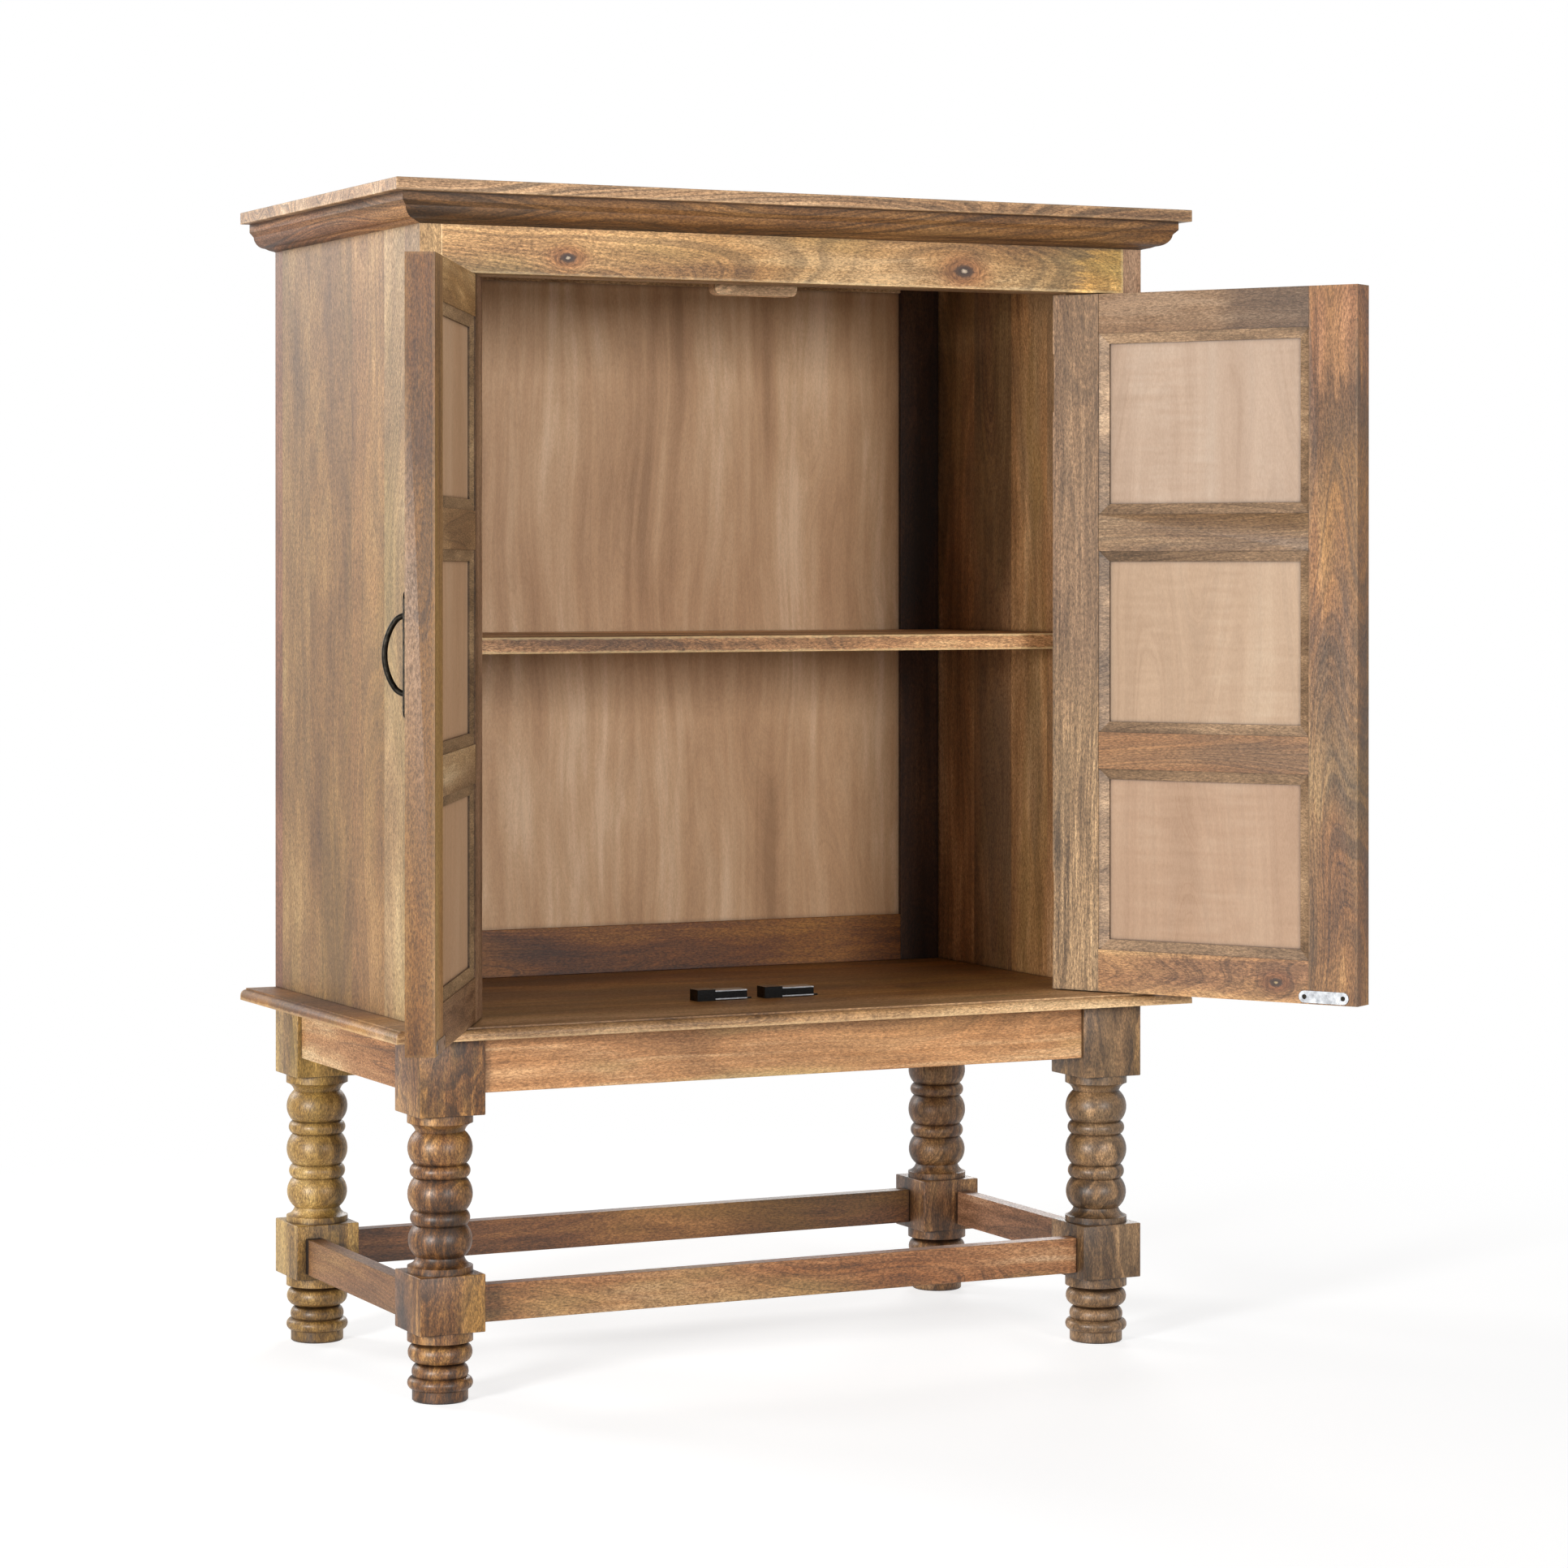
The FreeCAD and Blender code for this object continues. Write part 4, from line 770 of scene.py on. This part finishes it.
def spinTurning(name, centre, points):
    # one vertex is drawn out along the outline and spun about the leg's axis
    x, y = centre
    nothingSelected()
    bpy.ops.mesh.primitive_plane_add(size=0.01, location=(x, y, points[0].y))
    piece = bpy.context.object
    piece.name = name
    bpy.ops.object.transform_apply(location=True, rotation=True, scale=True)
    bpy.ops.object.mode_set(mode="EDIT")
    bpy.ops.mesh.select_all(action="SELECT")
    bpy.ops.mesh.merge(type="CENTER")
    path = [Vector((0.0, points[0].y))] + points + [Vector((0.0, points[-1].y))]
    for here, there in zip(path, path[1:]):
        step = there - here
        bpy.ops.mesh.extrude_vertices_move(TRANSFORM_OT_translate={"value": (step.x, 0.0, step.y)})
    bpy.ops.mesh.select_all(action="SELECT")
    bpy.ops.mesh.spin(steps=legTurning["turnSteps"], angle=2 * math.pi, center=(x, y, 0.0),
                      axis=(0.0, 0.0, 1.0), use_auto_merge=True)
    bpy.ops.mesh.select_all(action="SELECT")
    bpy.ops.mesh.remove_doubles(threshold=0.00001)
    bpy.ops.mesh.normals_make_consistent(inside=False)
    bpy.ops.object.mode_set(mode="OBJECT")
    return piece


def squareBlock(name, centre, width, low, high, arris):
    nothingSelected()
    bpy.ops.mesh.primitive_cube_add(size=1.0, location=(centre[0], centre[1], (low + high) / 2),
                                    scale=(width, width, high - low))
    piece = bpy.context.object
    piece.name = name
    bpy.ops.object.transform_apply(location=True, rotation=True, scale=True)
    bevel = piece.modifiers.new("arris", "BEVEL")
    bevel.width = arris
    bevel.segments = 3
    bpy.ops.object.modifier_apply(modifier=bevel.name)
    return piece


def turnedLeg(name):
    low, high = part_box(name)
    centre = ((low.x + high.x) / 2, (low.y + high.y) / 2)
    width = high.x - low.x
    half = width / 2
    (lowFrom, lowTo), (highFrom, highTo) = legTurning["lowerBlock"], legTurning["upperBlock"]
    bury, footBury = legTurning["bury"]
    upper = turningPoints(legTurning["upper"], half, lowTo - bury, highFrom + bury)
    foot = turningPoints(legTurning["foot"], half, 0.0, lowFrom + footBury)
    selectOnly(
        spinTurning(name + "_turned", centre, upper),
        spinTurning(name + "_foot", centre, foot),
        squareBlock(name + "_low", centre, width, lowFrom, lowTo, legTurning["arris"]),
        squareBlock(name + "_high", centre, width, highFrom, highTo, legTurning["arris"]))
    bpy.ops.object.join()
    leg = bpy.context.object
    leg.name = name + "_turned"
    bpy.ops.object.shade_smooth_by_angle(angle=smoothAngle)
    look = {**legWood, "origin": (*centre, 0.0), **legLooks[name]}
    leg.data.materials.append(woodFinish(name + "_wood", look))
    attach(leg, "cabinet")
    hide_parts(name)


for name in legLooks:
    turnedLeg(name)
print("legs turned")


forgedPlate = {
    "thick": 0.0060,        # in the photograph the left one shows past its door's edge
    "roundShare": 0.49,     # of its width, for its round ends
    "roundSteps": 8,
    "arris": 0.0011,
    "screwInset": 0.011,
    "headRadius": 0.0040,
    "headRise": 0.0012,
    "headSteps": (20, 12),
}


def backPlate(side):
    # built against the shut door's outer face, then swung open with it
    name = side + "_handle_plate"
    hinge = hingeAt[side + "_door"]
    turn = doorTurn[side + "_door"]
    (lowX, highX), (lowY, highY), (lowZ, highZ) = pieceBox(name, (hinge.x, hinge.y, 0.0), turn)
    middle = (lowX + highX) / 2
    thick = forgedPlate["thick"]
    nothingSelected()
    bpy.ops.mesh.primitive_cube_add(
        size=1.0, location=(middle, highY - thick / 2, (lowZ + highZ) / 2),
        scale=(highX - lowX, thick, highZ - lowZ))
    plate = bpy.context.object
    bpy.ops.object.transform_apply(location=True, rotation=True, scale=True)
    bpy.ops.object.mode_set(mode="EDIT")
    bpy.ops.mesh.select_mode(type="EDGE")
    bpy.ops.mesh.select_all(action="DESELECT")
    bpy.ops.object.mode_set(mode="OBJECT")
    for edge in plate.data.edges:  # the four that run through the plate
        here, there = (plate.data.vertices[i].co for i in edge.vertices)
        edge.select = abs(here.x - there.x) < 0.0001 and abs(here.z - there.z) < 0.0001
    bpy.ops.object.mode_set(mode="EDIT")
    bpy.ops.mesh.bevel(offset=(highX - lowX) * forgedPlate["roundShare"],
                       segments=forgedPlate["roundSteps"])
    bpy.ops.object.mode_set(mode="OBJECT")
    soft = plate.modifiers.new("arris", "BEVEL")
    soft.width = forgedPlate["arris"]
    soft.segments = 2
    soft.limit_method = "ANGLE"
    soft.angle_limit = math.radians(45)
    bpy.ops.object.modifier_apply(modifier=soft.name)
    parts = [plate]
    radius = forgedPlate["headRadius"]
    segments, rings = forgedPlate["headSteps"]
    for height in (lowZ + forgedPlate["screwInset"], highZ - forgedPlate["screwInset"]):
        nothingSelected()
        bpy.ops.mesh.primitive_uv_sphere_add(
            segments=segments, ring_count=rings, radius=radius,
            location=(middle, highY - thick, height), scale=(1.0, forgedPlate["headRise"] / radius, 1.0))
        bpy.ops.object.transform_apply(location=True, rotation=True, scale=True)
        parts.append(bpy.context.object)
    selectOnly(*parts)
    bpy.ops.object.join()
    plate.rotation_euler = (0.0, 0.0, math.radians(turn))
    plate.location = (hinge.x, hinge.y, 0.0)
    bpy.ops.object.transform_apply(location=True, rotation=True, scale=True)
    plate.name = side + "_back_plate"
    bpy.ops.object.shade_smooth_by_angle(angle=smoothAngle)
    plate.data.materials.append(finishes["blackIron"])
    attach(plate, side + "_door")
    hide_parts(name)


for side in doorLooks:
    backPlate(side)
print("back plates made")


studio = {
    "floorSize": 14.0,
    "floorGrey": 0.50,      # the camera sees a glowing grey near the cabinet, and white further out
    "floorGlow": 0.69,
    "fadeFrom": 1.2,
    "fadeTo": 2.2,
    "bounceGrey": 0.78,     # what the floor throws back at the cabinet
    "skyStrength": 0.14,
    # place, width, height and power of each lamp
    "lamps": {
        "key": ((-4.375, -2.42, 1.20), 0.9, 0.9, 230.0),
        "front": ((0.70, -7.95, 2.05), 2.25, 1.75, 316.0),
        "rearRight": ((2.9, 4.4, 2.7), 1.6, 1.6, 95.0),
        "rearLeft": ((-2.9, 4.4, 2.7), 1.6, 1.6, 95.0),
    },
    "aim": (0.0, 0.0, 0.85),
}


def seenDirectly(tree, *rays):
    # 1 for the camera's own rays and the named ones, else 0
    path = addNode(tree, "ShaderNodeLightPath")
    seen = path.outputs["Is Camera Ray"]
    for ray in rays:
        seen = sums(tree, "MAXIMUM", seen, path.outputs[ray])
    return seen


def studioFloor():
    nothingSelected()
    bpy.ops.mesh.primitive_plane_add(size=studio["floorSize"], location=(0.0, 0.0, 0.0))
    floor = bpy.context.object
    floor.name = "studio_floor"
    mat = bpy.data.materials.new("paleFloor")
    mat.use_nodes = True
    tree = mat.node_tree
    tree.nodes.remove(tree.nodes["Principled BSDF"])
    out = tree.nodes["Material Output"]
    place = addNode(tree, "ShaderNodeTexCoord").outputs["Object"]
    away = addNode(tree, "ShaderNodeVectorMath", {0: place}, operation="LENGTH").outputs["Value"]
    fade = between(tree, away, studio["fadeFrom"], studio["fadeTo"], smooth=True)
    matt, bounce = (addNode(tree, "ShaderNodeBsdfDiffuse", {"Color": greyTone(level)}).outputs[0]
                    for level in (studio["floorGrey"], studio["bounceGrey"]))
    glow, white = (addNode(tree, "ShaderNodeEmission", {"Strength": power}).outputs[0]
                   for power in (studio["floorGlow"], 1.0))
    near = addNode(tree, "ShaderNodeAddShader", {0: matt, 1: glow}).outputs[0]
    seen = addNode(tree, "ShaderNodeMixShader", {0: fade, 1: near, 2: white}).outputs[0]
    direct = seenDirectly(tree, "Is Glossy Ray")
    final = addNode(tree, "ShaderNodeMixShader", {0: direct, 1: bounce, 2: seen}).outputs[0]
    tree.links.new(final, out.inputs["Surface"])
    floor.data.materials.append(mat)


def studioLamp(name, place, width, height, power):
    lamp = bpy.data.lights.new(name, "AREA")
    lamp.shape = "RECTANGLE"
    lamp.size = width
    lamp.size_y = height
    lamp.energy = power
    holder = bpy.data.objects.new(name, lamp)
    bpy.context.scene.collection.objects.link(holder)
    holder.location = place
    holder.rotation_euler = (Vector(studio["aim"]) - Vector(place)).to_track_quat("-Z", "Y").to_euler()


studioFloor()
for name, values in studio["lamps"].items():
    studioLamp(name + "_lamp", *values)

world = bpy.data.worlds.new("paleStudio")
bpy.context.scene.world = world
world.use_nodes = True
worldTree = world.node_tree
direct = seenDirectly(worldTree, "Is Glossy Ray", "Is Transmission Ray")
background = worldTree.nodes["Background"]
background.inputs["Color"].default_value = greyTone(1.0)
worldTree.links.new(between(worldTree, direct, 0.0, 1.0, studio["skyStrength"], 1.0),
                    background.inputs["Strength"])

# the photograph's camera, solved from the cabinet's corners
photoView = {
    "place": (-2.4079, -4.9526, 1.0471), "tilt": 89.86, "heading": -25.35, "lens": 95.93,
    "shift": (0.0384, -0.1328),
}
lens = bpy.data.cameras.new("photo_view")
lens.sensor_width = 36.0
lens.lens = photoView["lens"]
lens.shift_x, lens.shift_y = photoView["shift"]
camera = bpy.data.objects.new("photo_view", lens)
bpy.context.scene.collection.objects.link(camera)
camera.location = photoView["place"]
camera.rotation_euler = (math.radians(photoView["tilt"]), 0.0, math.radians(photoView["heading"]))
bpy.context.scene.camera = camera
bpy.context.scene.view_settings.view_transform = "Standard"
print("studio set")

nothingSelected()
